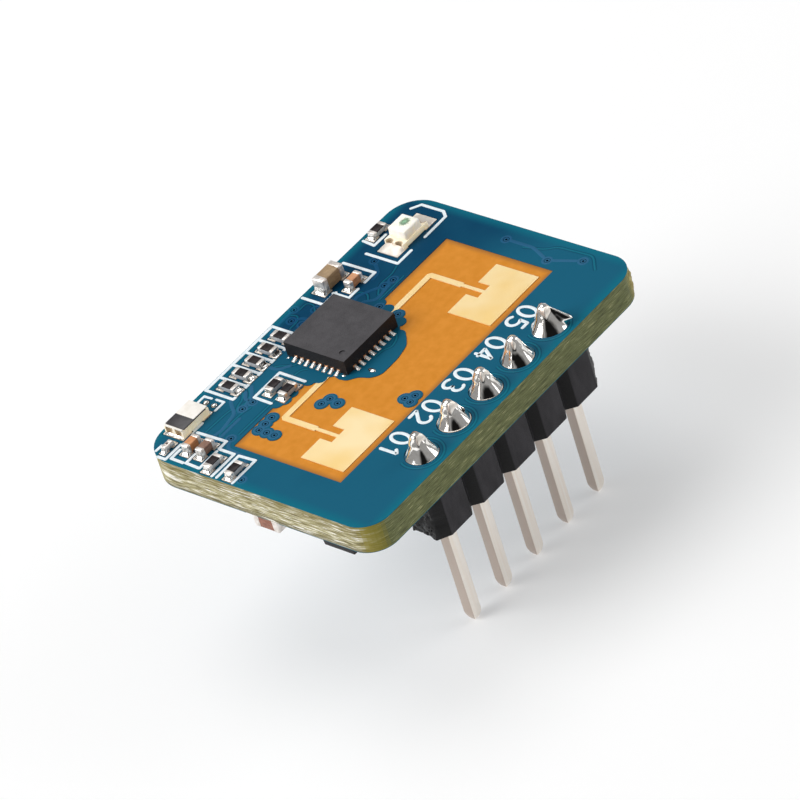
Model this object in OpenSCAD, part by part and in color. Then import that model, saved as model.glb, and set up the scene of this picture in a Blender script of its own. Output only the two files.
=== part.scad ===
/* [Board] */
// Distance from the window's left end to the board's left edge
left_margin = 2.34; // [2.3:0.01:3]
// Distance from the window's right end to the board's right edge
right_margin = 2.16; // [2.1:0.01:3]
// Distance from the row of resistors' pads to the board's far edge
far_margin = 0.55; // [0.4:0.01:1.5]
// Gap between the chip's solder and the pads of the row of resistors
row_clearance = 0.09; // [0.06:0.01:0.5]
// Thickness of the bare glass-epoxy board
board_thickness = 1.6; // [0.8:0.1:2]
// Radius of the two corners far from the pin row
far_corner_radius = 1.8; // [0.3:0.1:2]
// Radius of the two corners beside the pin row
near_corner_radius = 1.5; // [0.3:0.1:2]
// Thickness of the solder mask film
mask_thickness = 0.03; // [0.02:0.005:0.05]
// Thickness of the plated copper
copper_thickness = 0.04; // [0.035:0.005:0.07]
// Thickness of the printed white ink
ink_thickness = 0.02; // [0.01:0.005:0.03]
// Width of a printed line
ink_width = 0.17; // [0.1:0.01:0.2]
// Gap between a copper pad and the mask round it
mask_clearance = 0.05; // [0.03:0.01:0.1]
// Drill of the small through-plated holes
via_drill = 0.26; // [0.15:0.01:0.3]

/* [Pin header] */
// Distance from one pin to the next
pin_pitch = 2.54; // [2.54:0.01:2.6]
// Side of the square pins
pin_side = 0.64; // [0.5:0.01:0.68]
// Length of a pin below the housing
pin_below = 6.5; // [3:0.1:12]
// Length of a pin above the board
pin_above = 1.3; // [1:0.1:1.8]
// Length of the four-sided point on a pin
pin_point = 0.45; // [0.2:0.05:0.6]
// Width left across a pin's very end
pin_end = 0.36; // [0.2:0.02:0.44]
// Distance from the pin row to the board's near edge
header_setback = 1.37; // [1.3:0.01:2.5]
// Height of the black housing
housing_height = 2.54; // [1.5:0.01:4]
// Width of the housing across the pin row
housing_width = 2.54; // [2:0.01:2.6]
// Chamfer between two cells of the housing
cell_chamfer = 0.47; // [0.2:0.01:0.6]
// Length of torn plastic at each snapped end
break_stub = 0.2; // [0.1:0.01:0.4]
// Radius of the plated hole round a pin
header_hole_radius = 0.5; // [0.49:0.01:0.6]
// Radius of the round copper pad under a solder joint
header_pad_radius = 0.85; // [0.75:0.01:1]

/* [Antennas] */
// Length of the bare window in the mask
window_length = 17; // [16.4:0.1:17.6]
// Width of the bare window in the mask
window_width = 6.95; // [6.5:0.05:7.3]
// Distance from the pin row to the window
window_setback = 2.47; // [2.4:0.01:2.6]
// Shift of the window and chip along the pin row
radar_shift = 0.09; // [-0.1:0.01:0.1]
// Length of an antenna patch along the window
patch_length = 4; // [3.6:0.05:4.4]
// Width of an antenna patch
patch_width = 2.75; // [2.5:0.05:3]
// Gap between a patch and the window's end
patch_margin = 0.67; // [0.4:0.01:1]
// Gap between a patch and the window's near edge
patch_gap = 0.37; // [0.2:0.01:0.6]
// Width of the notch where the feed enters a patch
notch_width = 1; // [0.8:0.05:1.2]
// Depth of the notch where the feed enters a patch
notch_depth = 0.75; // [0.5:0.05:1]
// Width of the narrow stretch of the feed line
thin_feed = 0.2; // [0.15:0.01:0.3]
// Width of the wide stretch of the feed line
wide_feed = 0.34; // [0.3:0.01:0.4]
// Length of the narrow stretch of the feed line
thin_feed_length = 1.4; // [1:0.05:1.8]

/* [Radar chip] */
// Side of the square chip package
chip_side = 4; // [3.9:0.05:4.1]
// Height of the chip package
chip_height = 0.85; // [0.7:0.05:1]
// Distance of the chip's middle inside the window's far edge
chip_inset = 0.07; // [0:0.01:0.2]
// Contacts on each side of the chip
leads_per_side = 8; // [6:1:8]
// Distance from one contact to the next
lead_pitch = 0.4; // [0.36:0.01:0.42]
// Width of a contact
lead_width = 0.22; // [0.16:0.01:0.24]
// Length of a contact under the package
lead_length = 0.4; // [0.3:0.05:0.5]
// Height of a contact on the package's side
lead_height = 0.2; // [0.1:0.02:0.3]
// Length of the solder in front of a contact
lead_solder = 0.3; // [0.2:0.02:0.34]

/* [Chip parts] */
// Length of the small resistors and capacitors
small_length = 1; // [0.9:0.01:1.05]
// Width of the small resistors and capacitors
small_width = 0.5; // [0.4:0.01:0.55]
// Height of a small resistor
resistor_height = 0.32; // [0.25:0.01:0.4]
// Height of a small capacitor
small_height = 0.5; // [0.4:0.01:0.6]
// Length of a large capacitor
large_length = 1.6; // [1.5:0.05:1.7]
// Width of a large capacitor
large_width = 0.8; // [0.7:0.05:0.9]
// Height of a large capacitor
large_height = 0.8; // [0.6:0.05:1]
// Length of the tiny bead
bead_length = 0.6; // [0.5:0.05:0.7]
// Width and height of the tiny bead
bead_width = 0.3; // [0.25:0.01:0.35]
// Length of the indicator light and of the light sensor
lamp_length = 2; // [1.9:0.05:2.1]
// Width of the indicator light and of the light sensor
lamp_width = 1.25; // [1.15:0.05:1.3]
// Height of the light sensor
sensor_height = 0.5; // [0.4:0.05:0.8]
// Length of the sensor's dark window
sensor_window_length = 0.85; // [0.6:0.05:1]
// Thickness of the sensor's dark window
sensor_window_height = 0.08; // [0.05:0.01:0.12]
// Thickness of the plated metal round a part's end
cap_wall = 0.03; // [0.02:0.005:0.05]
// Share of a part's length that one metal end covers
cap_share = 0.22; // [0.15:0.01:0.3]
// Length of the solder in front of a small part
fillet_length = 0.22; // [0.1:0.01:0.26]
// Distance from one resistor of the row to the next
row_pitch = 1.02; // [0.9:0.01:1.05]
// Height of the indicator light's clear dome block
led_dome_height = 0.5; // [0.3:0.05:0.7]
// Length of the indicator light's clear dome block
led_dome_length = 1.3; // [1.1:0.05:1.4]
// Thickness of the indicator light's base
led_base_height = 0.3; // [0.2:0.05:0.5]
// Radius of the half-round notches in the castellated ends
castle_radius = 0.24; // [0.15:0.01:0.28]
// Side of the voltage regulator under the board
regulator_side = 2.1; // [1.9:0.05:2.3]
// Height of the voltage regulator
regulator_height = 0.85; // [0.7:0.05:1]
// Slope of the regulator's moulded sides, measured at its face
regulator_draft = 0.12; // [0.05:0.01:0.2]

/* [Hidden] */
$fn = 48;
// Pins in the header: each has its own node below
pin_count = 5;

// A cut reaches this far past the solid it cuts
past = 0.5;

// Heights, counted from the underside of the housing, which seats on the copper rings
board_bottom = housing_height + copper_thickness;
board_top = board_bottom + board_thickness;
pad_top = board_top + copper_thickness;
mask_top = board_top + mask_thickness;
pad_bottom = board_bottom - copper_thickness;

// The window, the antennas and the chip share one middle
window_far = window_setback + window_width;
window_left = radar_shift - window_length / 2;
chip_y = window_far - chip_inset;
patch_near = window_setback + patch_gap;
patch_spacing = window_length - patch_length - 2 * patch_margin;
feed_y = chip_y - (leads_per_side / 2 - 1.5) * lead_pitch;
pad_reach = chip_side / 2 + lead_solder;

// Edges of the board, seen from above with the pin row along X. Beyond the chip the board
// holds one row of resistors, which stand across the far edge.
small_reach = small_length / 2 + fillet_length;
row_middle = chip_y + pad_reach + row_clearance + small_reach;
left = window_left - left_margin;
right = window_left + window_length + right_margin;
near = -header_setback;
far = row_middle + small_reach + far_margin;

// Plated holes: copper thickness is also the wall of a plated barrel
header_drill_radius = header_hole_radius + copper_thickness;
via_radius = via_drill / 2;
via_wall = copper_thickness;
via_pad_radius = via_radius + 0.12;
island_radius = via_radius + 0.26;

// Places on the board, as insets from the edges or from the chip
function from_left(dx, dy) = [left + dx, far - dy];
function from_right(dx, dy) = [right - dx, far - dy];
function from_pin_row(dx, y) = [right - dx, y];
function from_chip(dx, dy) = [radar_shift + dx, chip_y + dy];
function from_left_feed(dx, dy) = [radar_shift - patch_spacing / 2 + dx, chip_y + dy];
function from_left_patch(dx, dy) =
    [radar_shift - patch_spacing / 2 + patch_length / 2 + dx, patch_near + dy];

// Length, width and height of each kind of part
small_part = [small_length, small_width, small_height];
resistor_part = [small_length, small_width, resistor_height];
large_part = [large_length, large_width, large_height];
bead_part = [bead_length, bead_width, bead_width];
sensor_part = [lamp_length, lamp_width, sensor_height];

// The row of resistors and the distance of its first one from the left edge
row_resistors = 5;
row_start = 5.62;
function row_place(i) = [left + row_start + i * row_pitch, row_middle];

// Middle and turn of each resistor: five in the row, two at the short edge,
// two beside the chip and one beside the indicator light
RESISTORS = [
    for (i = [0 : row_resistors - 1]) [row_place(i), 90],
    [from_left(0.82, 4.28), 0],
    [from_left(0.84, 5.68), 0],
    [from_chip(-4.22, 0.95), 0],
    [from_chip(-4.22, 0.07), 0],
    [from_right(3.15, 0.56), 0]
];

// Middle, turn and size of each capacitor on the top
CAPACITORS = [
    [from_left(1.4, 2.38), 0, small_part],
    [from_left(1.45, 3.26), 0, small_part],
    [from_right(7.32, 0.81), 0, large_part],
    [from_right(6.9, 2.06), 0, small_part]
];

bead_place = from_left(0.86, 1.23);
led_place = from_right(2.75, 2.18);
sensor_place = from_left(2.75, 0.9);
spare_place = from_left(4.33, 1.03);
spare_spacing = 0.54;
spare_pad = 0.3;
bottom_capacitor_place = [left + large_width / 2 + 0.08, far - 7.58];
regulator_place = [left + regulator_side / 2 + 0.37, near + 3.17];

// Small plated holes that stand alone in the blue mask
LONE_VIAS = [
    from_pin_row(1.06, 6.35), from_pin_row(1.62, 3.26), from_pin_row(0.96, 1.46),
    from_left(5.32, 3.04), from_left(4.69, 2.88), from_left(2.71, 3.8), from_left(0.5, 6.38),
    from_chip(0.93, 4.03), from_chip(0.19, 3.58), from_chip(0.19, 2.85), from_chip(1.39, 2.95),
    from_chip(5.61, 2.52), from_chip(4.81, 0.6), from_chip(4.26, 0.74), from_chip(2.84, -0.08)
];

// Round mask islands in the window, each over a plated hole, in steps of one pitch
island_pitch = 0.5;
island_corner = [window_left + 1.44, window_far - 0.44];
ISLANDS = concat(
    [for (i = [0 : 2]) island_corner + [i * island_pitch, 0]],
    [for (i = [1 : 2]) island_corner - [0, i * island_pitch]],
    [from_left_feed(1.59, -2.11), from_left_feed(2.06, -2.28), from_left_feed(1.94, -2.87)],
    [from_left_patch(1.57, 0.61), from_left_patch(1.95, 0.25), from_left_patch(1.46, 0.17)],
    [from_chip(2.73, -1.39)]
);

// Plated holes round the chip: the mask between them has a scalloped edge
FENCE = [
    from_chip(-5.1, 0.1), from_chip(-4.75, -0.12), from_chip(-4.2, -0.1), from_chip(-3.65, 0),
    from_chip(-3.1, -0.35), from_chip(-2.75, -0.8), from_chip(-2.05, -1.75), from_chip(-1.45, -2.55),
    from_chip(-1.35, -2.95), from_chip(-0.8, -2.9), from_chip(-0.2, -2.88), from_chip(0.4, -2.88),
    from_chip(0.95, -2.93), from_chip(1.5, -2.45), from_chip(2.3, -1.85), from_chip(2.85, -0.6),
    from_chip(3.05, 0.1)
];
fence_radius = 0.36;

function pin_x(i) = (i - (pin_count + 1) / 2) * pin_pitch;

// Outlines

module board_outline() {
    difference() {
        translate([left, near]) square([right - left, far - near]);
        for (end = [left, right]) {
            corner_cut(end, far, far_corner_radius);
            corner_cut(end, near, near_corner_radius);
        }
    }
}

// What is cut away outside the round corner where two edges meet
module corner_cut(end, edge, radius) {
    translate([end == left ? left + radius : right - radius, edge == far ? far - radius : near + radius])
        mirror([end == left ? 1 : 0, 0]) mirror([0, edge == near ? 1 : 0]) difference() {
            square(radius + past);
            circle(radius);
        }
}

// One printed or etched line of even width through some points
module stroke(points, width) {
    for (i = [0 : len(points) - 2]) {
        step = points[i + 1] - points[i];
        translate(points[i]) rotate(atan2(step[1], step[0]))
            translate([0, -width / 2]) square([norm(step), width]);
    }
    for (p = points) translate(p) circle(d = width, $fn = 16);
}

// Copper pads of a two-ended part, drawn with its middle at the origin
module pad_pair(size, grow = 0) {
    pad = pad_size(size);
    for (side = [-1, 1])
        translate([side * (size[0] / 2 + fillet_length - pad[0] / 2), 0])
            square(pad + [2 * grow, 2 * grow], center = true);
}

// A pad runs from under the part's metal end to the toe of its solder
function pad_size(size) = [size[0] * cap_share + fillet_length + 0.05, size[1] + 0.1];

// The lamp and the sensor have longer pads than the small parts
lamp_pad = [0.9, lamp_width + 0.1];
lamp_pad_out = 0.62;
module lamp_pads(grow = 0) {
    for (side = [-1, 1])
        translate([side * (lamp_length / 2 + lamp_pad_out - lamp_pad[0] / 2), 0])
            square(lamp_pad + [2 * grow, 2 * grow], center = true);
}

sensor_pad_out = 0.15;
module sensor_pads(grow = 0) {
    for (side = [-1, 1])
        translate([side * (lamp_length / 2 + sensor_pad_out - pad_size(sensor_part)[0] / 2), 0])
            square(pad_size(sensor_part) + [2 * grow, 2 * grow], center = true);
}

module spare_pads(grow = 0) {
    for (side = [-1, 1])
        translate([0, side * spare_spacing / 2]) circle(spare_pad / 2 + grow);
}

// The chip's contacts: children are drawn once for each, pointing away from it
module at_leads() {
    for (turn = [0 : 90 : 270])
        translate([radar_shift, chip_y]) rotate(turn)
            for (i = [0 : leads_per_side - 1])
                translate([chip_side / 2, (i - (leads_per_side - 1) / 2) * lead_pitch]) children();
}

module lead_pads(grow = 0) {
    at_leads() translate([-lead_length - grow, -lead_width / 2 - grow])
        square([lead_length + lead_solder + 2 * grow, lead_width + 2 * grow]);
}

// Every copper pad on the top, grown by the mask's clearance for its opening
module top_pads(grow = 0) {
    for (r = RESISTORS) translate(r[0]) rotate(r[1]) pad_pair(resistor_part, grow);
    for (c = CAPACITORS) translate(c[0]) rotate(c[1]) pad_pair(c[2], grow);
    translate(bead_place) pad_pair(bead_part, grow);
    translate(led_place) lamp_pads(grow);
    translate(sensor_place) sensor_pads(grow);
    translate(spare_place) spare_pads(grow);
}

module bottom_pads(grow = 0) {
    translate(bottom_capacitor_place) rotate(90) pad_pair(large_part, grow);
    translate(regulator_place) regulator_pads(grow);
}

// Six contacts under the regulator, in two rows of three
regulator_lead = [0.35, 0.25];
regulator_pitch = 0.65;
module regulator_pads(grow = 0) {
    for (side = [-1, 1])
        for (i = [-1 : 1])
            translate([side * (regulator_side / 2 - regulator_lead[0] / 2), i * regulator_pitch])
                square(regulator_lead + [2 * grow, 2 * grow], center = true);
}

module at_pins() {
    for (i = [1 : pin_count]) translate([pin_x(i), 0]) children();
}

module window_outline() {
    translate([radar_shift - window_length / 2, window_setback]) square([window_length, window_width]);
}

// The mask in the window: islands, and the field round the chip
module window_mask() {
    for (p = ISLANDS) translate(p) circle(island_radius, $fn = 24);
    intersection() {
        union() {
            polygon(concat(FENCE, [from_chip(3.2, past), from_chip(-5.2, past)]));
            for (p = FENCE) translate(p) circle(fence_radius, $fn = 24);
        }
        window_outline();
    }
}

// The right antenna is drawn as it is and the left one as its mirror image
module antenna_side(side) {
    translate([radar_shift, 0]) mirror([side < 0 ? 1 : 0, 0]) children();
}

// The feed leaves the patch thin, widens, and turns to the chip with a mitred corner
module feed_outline() {
    half = wide_feed / 2;
    middle_x = patch_spacing / 2;
    inner_y = patch_near + patch_width - notch_depth;
    wide_y = inner_y + thin_feed_length;
    translate([middle_x - thin_feed / 2, inner_y - past / 4])
        square([thin_feed, thin_feed_length + past / 4]);
    translate([middle_x - half, wide_y]) square([wide_feed, feed_y - wide_y]);
    translate([middle_x, feed_y])
        polygon([[-half, -half], [half, -half], [half, 0], [0, half], [-half, half]]);
    translate([pad_reach, feed_y - half]) square([middle_x - pad_reach, wide_feed]);
}

module patch_outline() {
    translate([patch_spacing / 2, patch_near]) difference() {
        translate([-patch_length / 2, 0]) square([patch_length, patch_width]);
        translate([-notch_width / 2, patch_width - notch_depth])
            square([notch_width, notch_depth + past]);
    }
}

// Bare board, films and copper

module all_vias() {
    for (p = concat(LONE_VIAS, ISLANDS)) translate(p) children();
}

module laminate() {
    color("#c98a35") translate([0, 0, board_bottom]) linear_extrude(board_thickness) difference() {
        board_outline();
        at_pins() circle(header_drill_radius);
        all_vias() circle(via_radius + via_wall, $fn = 24);
    }
}

module top_mask() {
    color("#1d5f78") translate([0, 0, board_top]) linear_extrude(mask_thickness) difference() {
        union() {
            difference() {
                board_outline();
                window_outline();
            }
            window_mask();
        }
        at_pins() circle(header_pad_radius + mask_clearance);
        all_vias() circle(via_radius + via_wall, $fn = 24);
        top_pads(mask_clearance);
        lead_pads(mask_clearance / 2);
    }
}

module bottom_mask() {
    color("#1d5f78") translate([0, 0, board_bottom - mask_thickness]) linear_extrude(mask_thickness)
        difference() {
            board_outline();
            at_pins() circle(header_pad_radius + mask_clearance);
            all_vias() circle(via_radius + via_wall, $fn = 24);
            bottom_pads(mask_clearance);
        }
}

module antenna(side) {
    color("#f0d090") translate([0, 0, board_top]) linear_extrude(copper_thickness) {
        antenna_side(side) patch_outline();
        difference() {
            antenna_side(side) feed_outline();
            window_mask();
        }
    }
}

module surface_pads() {
    color("#d8d4c8") {
        translate([0, 0, board_top]) linear_extrude(copper_thickness) {
            top_pads();
            lead_pads();
        }
        translate([0, 0, pad_bottom]) linear_extrude(copper_thickness) bottom_pads();
    }
}

// A plated hole: a barrel with a flat ring at both faces of the board
module plated_hole(radius, ring_radius, wall) {
    translate([0, 0, pad_bottom]) rotate_extrude() polygon([
        [radius, 0], [ring_radius, 0], [ring_radius, copper_thickness],
        [radius + wall, copper_thickness], [radius + wall, copper_thickness + board_thickness],
        [ring_radius, copper_thickness + board_thickness],
        [ring_radius, 2 * copper_thickness + board_thickness],
        [radius, 2 * copper_thickness + board_thickness]
    ]);
}

module header_pads() {
    color("#e0ddd5") at_pins()
        plated_hole(header_hole_radius, header_pad_radius, copper_thickness);
}

// The film covers the rings of these small holes, so only their barrels show
module via_barrels() {
    color("#16485c") all_vias() translate([0, 0, board_bottom - mask_thickness])
        linear_extrude(board_thickness + 2 * mask_thickness) difference() {
            circle(via_radius + via_wall, $fn = 24);
            circle(via_radius, $fn = 24);
        }
}

// Printed frames round the parts

module silkscreen() {
    color("white") translate([0, 0, mask_top]) linear_extrude(ink_thickness) difference() {
        union() {
            row_frame();
            corner_frames();
            chip_resistor_frame();
            capacitor_frames();
            lamp_frames();
            spare_frame();
        }
        top_pads(mask_clearance);
    }
}

// A ladder of cells round the row of resistors
module row_frame() {
    x0 = row_place(-0.55)[0];
    x1 = row_place(row_resistors - 0.42)[0];
    y0 = row_middle - 0.68;
    y1 = far - 0.12;
    stroke([[x1, y0 + 0.3], [x1, y1], [x0, y1], [x0, y0], [x1 - row_pitch, y0]], ink_width);
    for (i = [0.5 : row_resistors - 1.5]) {
        x = row_place(i)[0];
        stroke([[x, y0], [x, y1]], ink_width);
    }
}

// Frames at the short edge: the bead, two capacitors and two resistors
module corner_frames() {
    stroke([bead_place + [-0.72, 0.1], bead_place + [-0.72, -0.42], bead_place + [0.45, -0.42]],
        ink_width);
    stroke([bead_place + [-0.4, 0.48], bead_place + [0, 0.46]], ink_width);
    stroke([CAPACITORS[0][0] + [-1.1, -0.3], CAPACITORS[0][0] + [-1.08, 0.5],
            CAPACITORS[0][0] + [-0.4, 0.5]], ink_width);
    stroke([CAPACITORS[1][0] + [-0.4, 0.42], CAPACITORS[1][0] + [-1.1, 0.42],
            CAPACITORS[1][0] + [-1.14, -0.5], CAPACITORS[1][0] + [0.2, -0.5]], ink_width);
    stroke([from_left(2.37, 1.86), from_left(2.43, 3.74), from_left(1.87, 3.74)], ink_width);
    stroke([RESISTORS[5][0] + [-0.7, -0.48], RESISTORS[5][0] + [1.02, -0.48],
            RESISTORS[5][0] + [1.02, 0.5]], ink_width);
    stroke([RESISTORS[6][0] + [-0.7, 0.62], RESISTORS[6][0] + [1, 0.62],
            RESISTORS[6][0] + [1.06, -0.42], RESISTORS[6][0] + [-0.7, -0.42]], ink_width);
    stroke([sensor_place + [-0.5, -0.72], sensor_place + [0.26, -0.72]], ink_width);
}

module chip_resistor_frame() {
    stroke([from_chip(-3.24, -0.2), from_chip(-3.22, 1.5), from_chip(-5.22, 1.5),
            from_chip(-5.25, 0.36)], ink_width);
}

module capacitor_frames() {
    large = CAPACITORS[2][0];
    small = CAPACITORS[3][0];
    stroke([large + [-1.5, 0.65], large + [-1.5, -0.76], large + [-0.5, -0.76]], ink_width);
    stroke([small + [-1, 0.6], small + [-1, -0.44], small + [-0.25, -0.44]], ink_width);
    stroke([small + [0.3, -0.44], small + [1.12, -0.44], small + [1.1, 1.66]], ink_width);
}

module lamp_frames() {
    stroke([led_place + [-2, 1.1], led_place + [-2, -1], led_place + [-0.9, -1]], ink_width);
    stroke([led_place + [0.24, -1], led_place + [1.95, -0.98], led_place + [2.26, -0.6],
            led_place + [2.26, 0.85], led_place + [1.8, 1.2]], ink_width);
    last = RESISTORS[9][0];
    stroke([last + [-0.84, 0.3], last + [-0.92, -0.5], last + [0, -0.5]], ink_width);
}

module spare_frame() {
    stroke([spare_place + [-0.5, 0.15], spare_place + [-0.35, 0.68], spare_place + [0.33, 0.68],
            spare_place + [0.35, 0.2]], ink_width / 1.2);
    stroke([spare_place + [0.38, -0.1], spare_place + [0.38, -0.6], spare_place + [-0.3, -0.6]],
        ink_width / 1.2);
}

// Pin header

// Eight-sided cells in one strip, with a square hole for each pin and torn ends
module header_housing() {
    color("#2a292c") linear_extrude(housing_height) difference() {
        polygon(concat(
            cell_side(-1, [1 : pin_count]), snapped_end(1),
            cell_side(1, [pin_count : -1 : 1]), snapped_end(-1)
        ));
        at_pins() square(pin_side, center = true);
    }
}

// Corners of the cells along one side of the strip, starting at each notch
function cell_side(side, cells) =
    let (half = pin_pitch / 2, deep = housing_width / 2)
    [for (i = cells) each [
        [pin_x(i) + side * half, side * (deep - cell_chamfer)],
        [pin_x(i) + side * (half - cell_chamfer), side * deep],
        [pin_x(i) - side * (half - cell_chamfer), side * deep]
    ]];

// The uneven edge that is left where the strip was snapped off a longer one
function snapped_end(side) =
    let (
        end_x = pin_pitch * pin_count / 2,
        reach = housing_width / 2 - cell_chamfer,
        teeth = 6
    )
    [for (i = [0 : teeth])
        side * [end_x + break_stub * (0.4 + 0.6 * abs(sin(137 * i + 40))),
                reach * (2 * i / teeth - 1)]];

// A square pin is two crossed profiles, so that both ends are four-sided points
module pin(i) {
    color("#d9d2c3") translate([pin_x(i), 0]) intersection() {
        rotate([90, 0, 0]) linear_extrude(2 * pin_side, center = true) pin_profile();
        rotate([90, 0, 90]) linear_extrude(2 * pin_side, center = true) pin_profile();
    }
}

module pin_profile() {
    half = pin_side / 2;
    low = -pin_below;
    high = board_top + pin_above;
    polygon([
        [-pin_end / 2, low], [pin_end / 2, low], [half, low + pin_point],
        [half, high - pin_point], [pin_end / 2, high], [-pin_end / 2, high],
        [-half, high - pin_point], [-half, low + pin_point]
    ]);
}

// Solder climbs the pin in a hollow cone and fills the plated hole below it
solder_radius = header_pad_radius;
solder_rise = pin_above - pin_point;
solder_neck = pin_side / sqrt(2) + 0.03;
module solder_joint(i) {
    base = copper_thickness + board_thickness;
    cone_steps = 5;
    cone = [for (k = [0 : cone_steps])
        let (t = k / cone_steps)
        [solder_neck + (solder_radius - solder_neck) * pow(1 - t, 1.35),
         base + copper_thickness + solder_rise * t]];
    color("#c9c9c9") translate([pin_x(i), 0, pad_bottom]) difference() {
        rotate_extrude() polygon(concat(
            [[0, 0], [header_hole_radius, 0], [header_hole_radius, base + copper_thickness]],
            cone, [[0, base + copper_thickness + solder_rise]]
        ));
        translate([0, 0, board_top / 2]) cube([pin_side, pin_side, 4 * board_top], center = true);
    }
}

// Radar chip

module at_chip() {
    translate([radar_shift, chip_y, pad_top]) children();
}

// One contact, flush with the package's side and underside
module lead_block() {
    translate([-lead_length, -lead_width / 2, 0]) cube([lead_length, lead_width, lead_height]);
}

module radar_chip() {
    dimple = [-chip_side / 2 + 0.55, -chip_side / 2 + 0.55];
    color("#403f41") difference() {
        at_chip() difference() {
            linear_extrude(chip_height) square(chip_side, center = true);
            translate([dimple[0], dimple[1], chip_height - 0.05]) cylinder(past, r = 0.16);
        }
        translate([0, 0, pad_top]) at_leads() lead_block();
    }
}

module chip_leads() {
    color("#c98e5a") translate([0, 0, pad_top]) at_leads() lead_block();
}

// Solder in front of every contact, from the pad's toe up the package's side
module chip_solder() {
    color("#c9c9c9") translate([0, 0, pad_top]) at_leads()
        wedge(lead_solder, lead_width, lead_height);
}

// A ramp of solder that stands on the pad and leans on a metal end
module wedge(reach, width, height) {
    translate([0, width / 2, 0]) rotate([90, 0, 0]) linear_extrude(width)
        polygon([[0, 0], [reach, 0], [reach * 0.45, height * 0.35], [0, height]]);
}

// Two-ended parts

// The plated metal round both ends of a part
module end_caps(size, share = cap_share) {
    cap = [size[0] * share, size[1], size[2]];
    for (side = [-1, 1]) difference() {
        translate([side * (size[0] - cap[0]) / 2, 0, cap[2] / 2]) cube(cap, center = true);
        part_core(size);
    }
}

// The ceramic inside the metal ends
module part_core(size) {
    wall = cap_wall;
    translate([0, 0, size[2] / 2])
        cube([size[0] - 2 * wall, size[1] - 2 * wall, size[2] - 2 * wall], center = true);
}

module resistor(i) {
    place = RESISTORS[i - 1];
    glaze = [small_part[0] * (1 - 2 * cap_share), small_part[1] - 2 * cap_wall, cap_wall];
    translate([place[0][0], place[0][1], pad_top]) rotate(place[1]) {
        color("#e8e6e0") part_core(resistor_part);
        color("#26262a") translate([0, 0, resistor_height - cap_wall / 2]) cube(glaze, center = true);
    }
}

module capacitor(i) {
    place = CAPACITORS[i - 1];
    color(i == 1 ? "#d08a52" : "#8a6a52")
        translate([place[0][0], place[0][1], pad_top]) rotate(place[1]) capacitor_body(place[2]);
}

// A capacitor's brown body is as thick as its metal ends between them
module capacitor_body(size) {
    part_core(size);
    translate([0, 0, size[2] / 2])
        cube([size[0] * (1 - 2 * cap_share), size[1] - cap_wall, size[2] - cap_wall], center = true);
}

module bead() {
    color("#b5b0a8") translate([bead_place[0], bead_place[1], pad_top]) capacitor_body(bead_part);
}

// The capacitor under the board hangs from it, so it is turned over
module under_board(place, turn = 0) {
    translate([place[0], place[1], pad_bottom]) mirror([0, 0, 1]) rotate(turn) children();
}

module bottom_capacitor() {
    color("#9c6048") under_board(bottom_capacitor_place, 90) capacitor_body(large_part);
}

module end_terminals() {
    color("#d5d2cc") {
        for (r = RESISTORS) translate([r[0][0], r[0][1], pad_top]) rotate(r[1]) end_caps(resistor_part);
        for (c = CAPACITORS) translate([c[0][0], c[0][1], pad_top]) rotate(c[1]) end_caps(c[2]);
        translate([bead_place[0], bead_place[1], pad_top]) end_caps(bead_part);
        under_board(bottom_capacitor_place, 90) end_caps(large_part);
    }
}

// The ramps of solder at both ends of every small part
module fillet_pair(size) {
    for (side = [0, 180])
        rotate(side) translate([size[0] / 2, 0, 0])
            wedge(fillet_length, size[1], size[2] * 0.8);
}

module solder_fillets() {
    color("#c9c9c9") {
        for (r = RESISTORS) translate([r[0][0], r[0][1], pad_top]) rotate(r[1]) fillet_pair(resistor_part);
        for (c = CAPACITORS) translate([c[0][0], c[0][1], pad_top]) rotate(c[1]) fillet_pair(c[2]);
        translate([bead_place[0], bead_place[1], pad_top]) fillet_pair(bead_part);
        under_board(bottom_capacitor_place, 90) fillet_pair(large_part);
    }
}

// The regulator's moulded body narrows towards its face
module regulator() {
    side = regulator_side / 2;
    face = side - regulator_draft;
    profile = [[-side, 0], [side, 0], [face, regulator_height], [-face, regulator_height]];
    color("#232326") under_board(regulator_place) intersection() {
        rotate([90, 0, 0]) linear_extrude(2 * regulator_side, center = true) polygon(profile);
        rotate([90, 0, 90]) linear_extrude(2 * regulator_side, center = true) polygon(profile);
    }
}

// Indicator light and light sensor

module at_led() {
    translate([led_place[0], led_place[1], pad_top]) children();
}

// A base plate with two half-round notches in each of its ends
module castellated_outline() {
    difference() {
        square([lamp_length, lamp_width], center = true);
        castle_notches(castle_radius);
    }
}

module castle_notches(radius) {
    for (x = [-1, 1])
        for (y = [-1, 1])
            translate([x * lamp_length / 2, y * lamp_width / 4]) circle(radius, $fn = 24);
}

// The metal lining of the notches is a ring cut to the outline of the part
module castle_lining(height) {
    linear_extrude(height) intersection() {
        difference() {
            castle_notches(castle_radius);
            castle_notches(castle_radius - cap_wall);
        }
        square([lamp_length, lamp_width], center = true);
    }
}

module led_base() {
    color("#efe6d2") at_led() linear_extrude(led_base_height) castellated_outline();
}

die_size = [0.5, 0.4, 0.12];
module led_die() {
    color("#3f9a6a") at_led() translate([0.1, 0, led_base_height])
        linear_extrude(die_size[2]) square([die_size[0], die_size[1]], center = true);
}

// The clear block over the die, moulded with a draft on all four sides
module led_dome() {
    foot = [led_dome_length, lamp_width] / 2;
    draft = 0.1;
    color("#f4f0e4") at_led() translate([0, 0, led_base_height]) difference() {
        intersection() {
            rotate([90, 0, 0]) linear_extrude(2 * lamp_width, center = true)
                dome_profile(foot[0], draft);
            rotate([90, 0, 90]) linear_extrude(2 * lamp_length, center = true)
                dome_profile(foot[1], draft / 2);
        }
        translate([0.1, 0, 0]) linear_extrude(2 * die_size[2], center = true)
            square([die_size[0], die_size[1]], center = true);
    }
}

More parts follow.
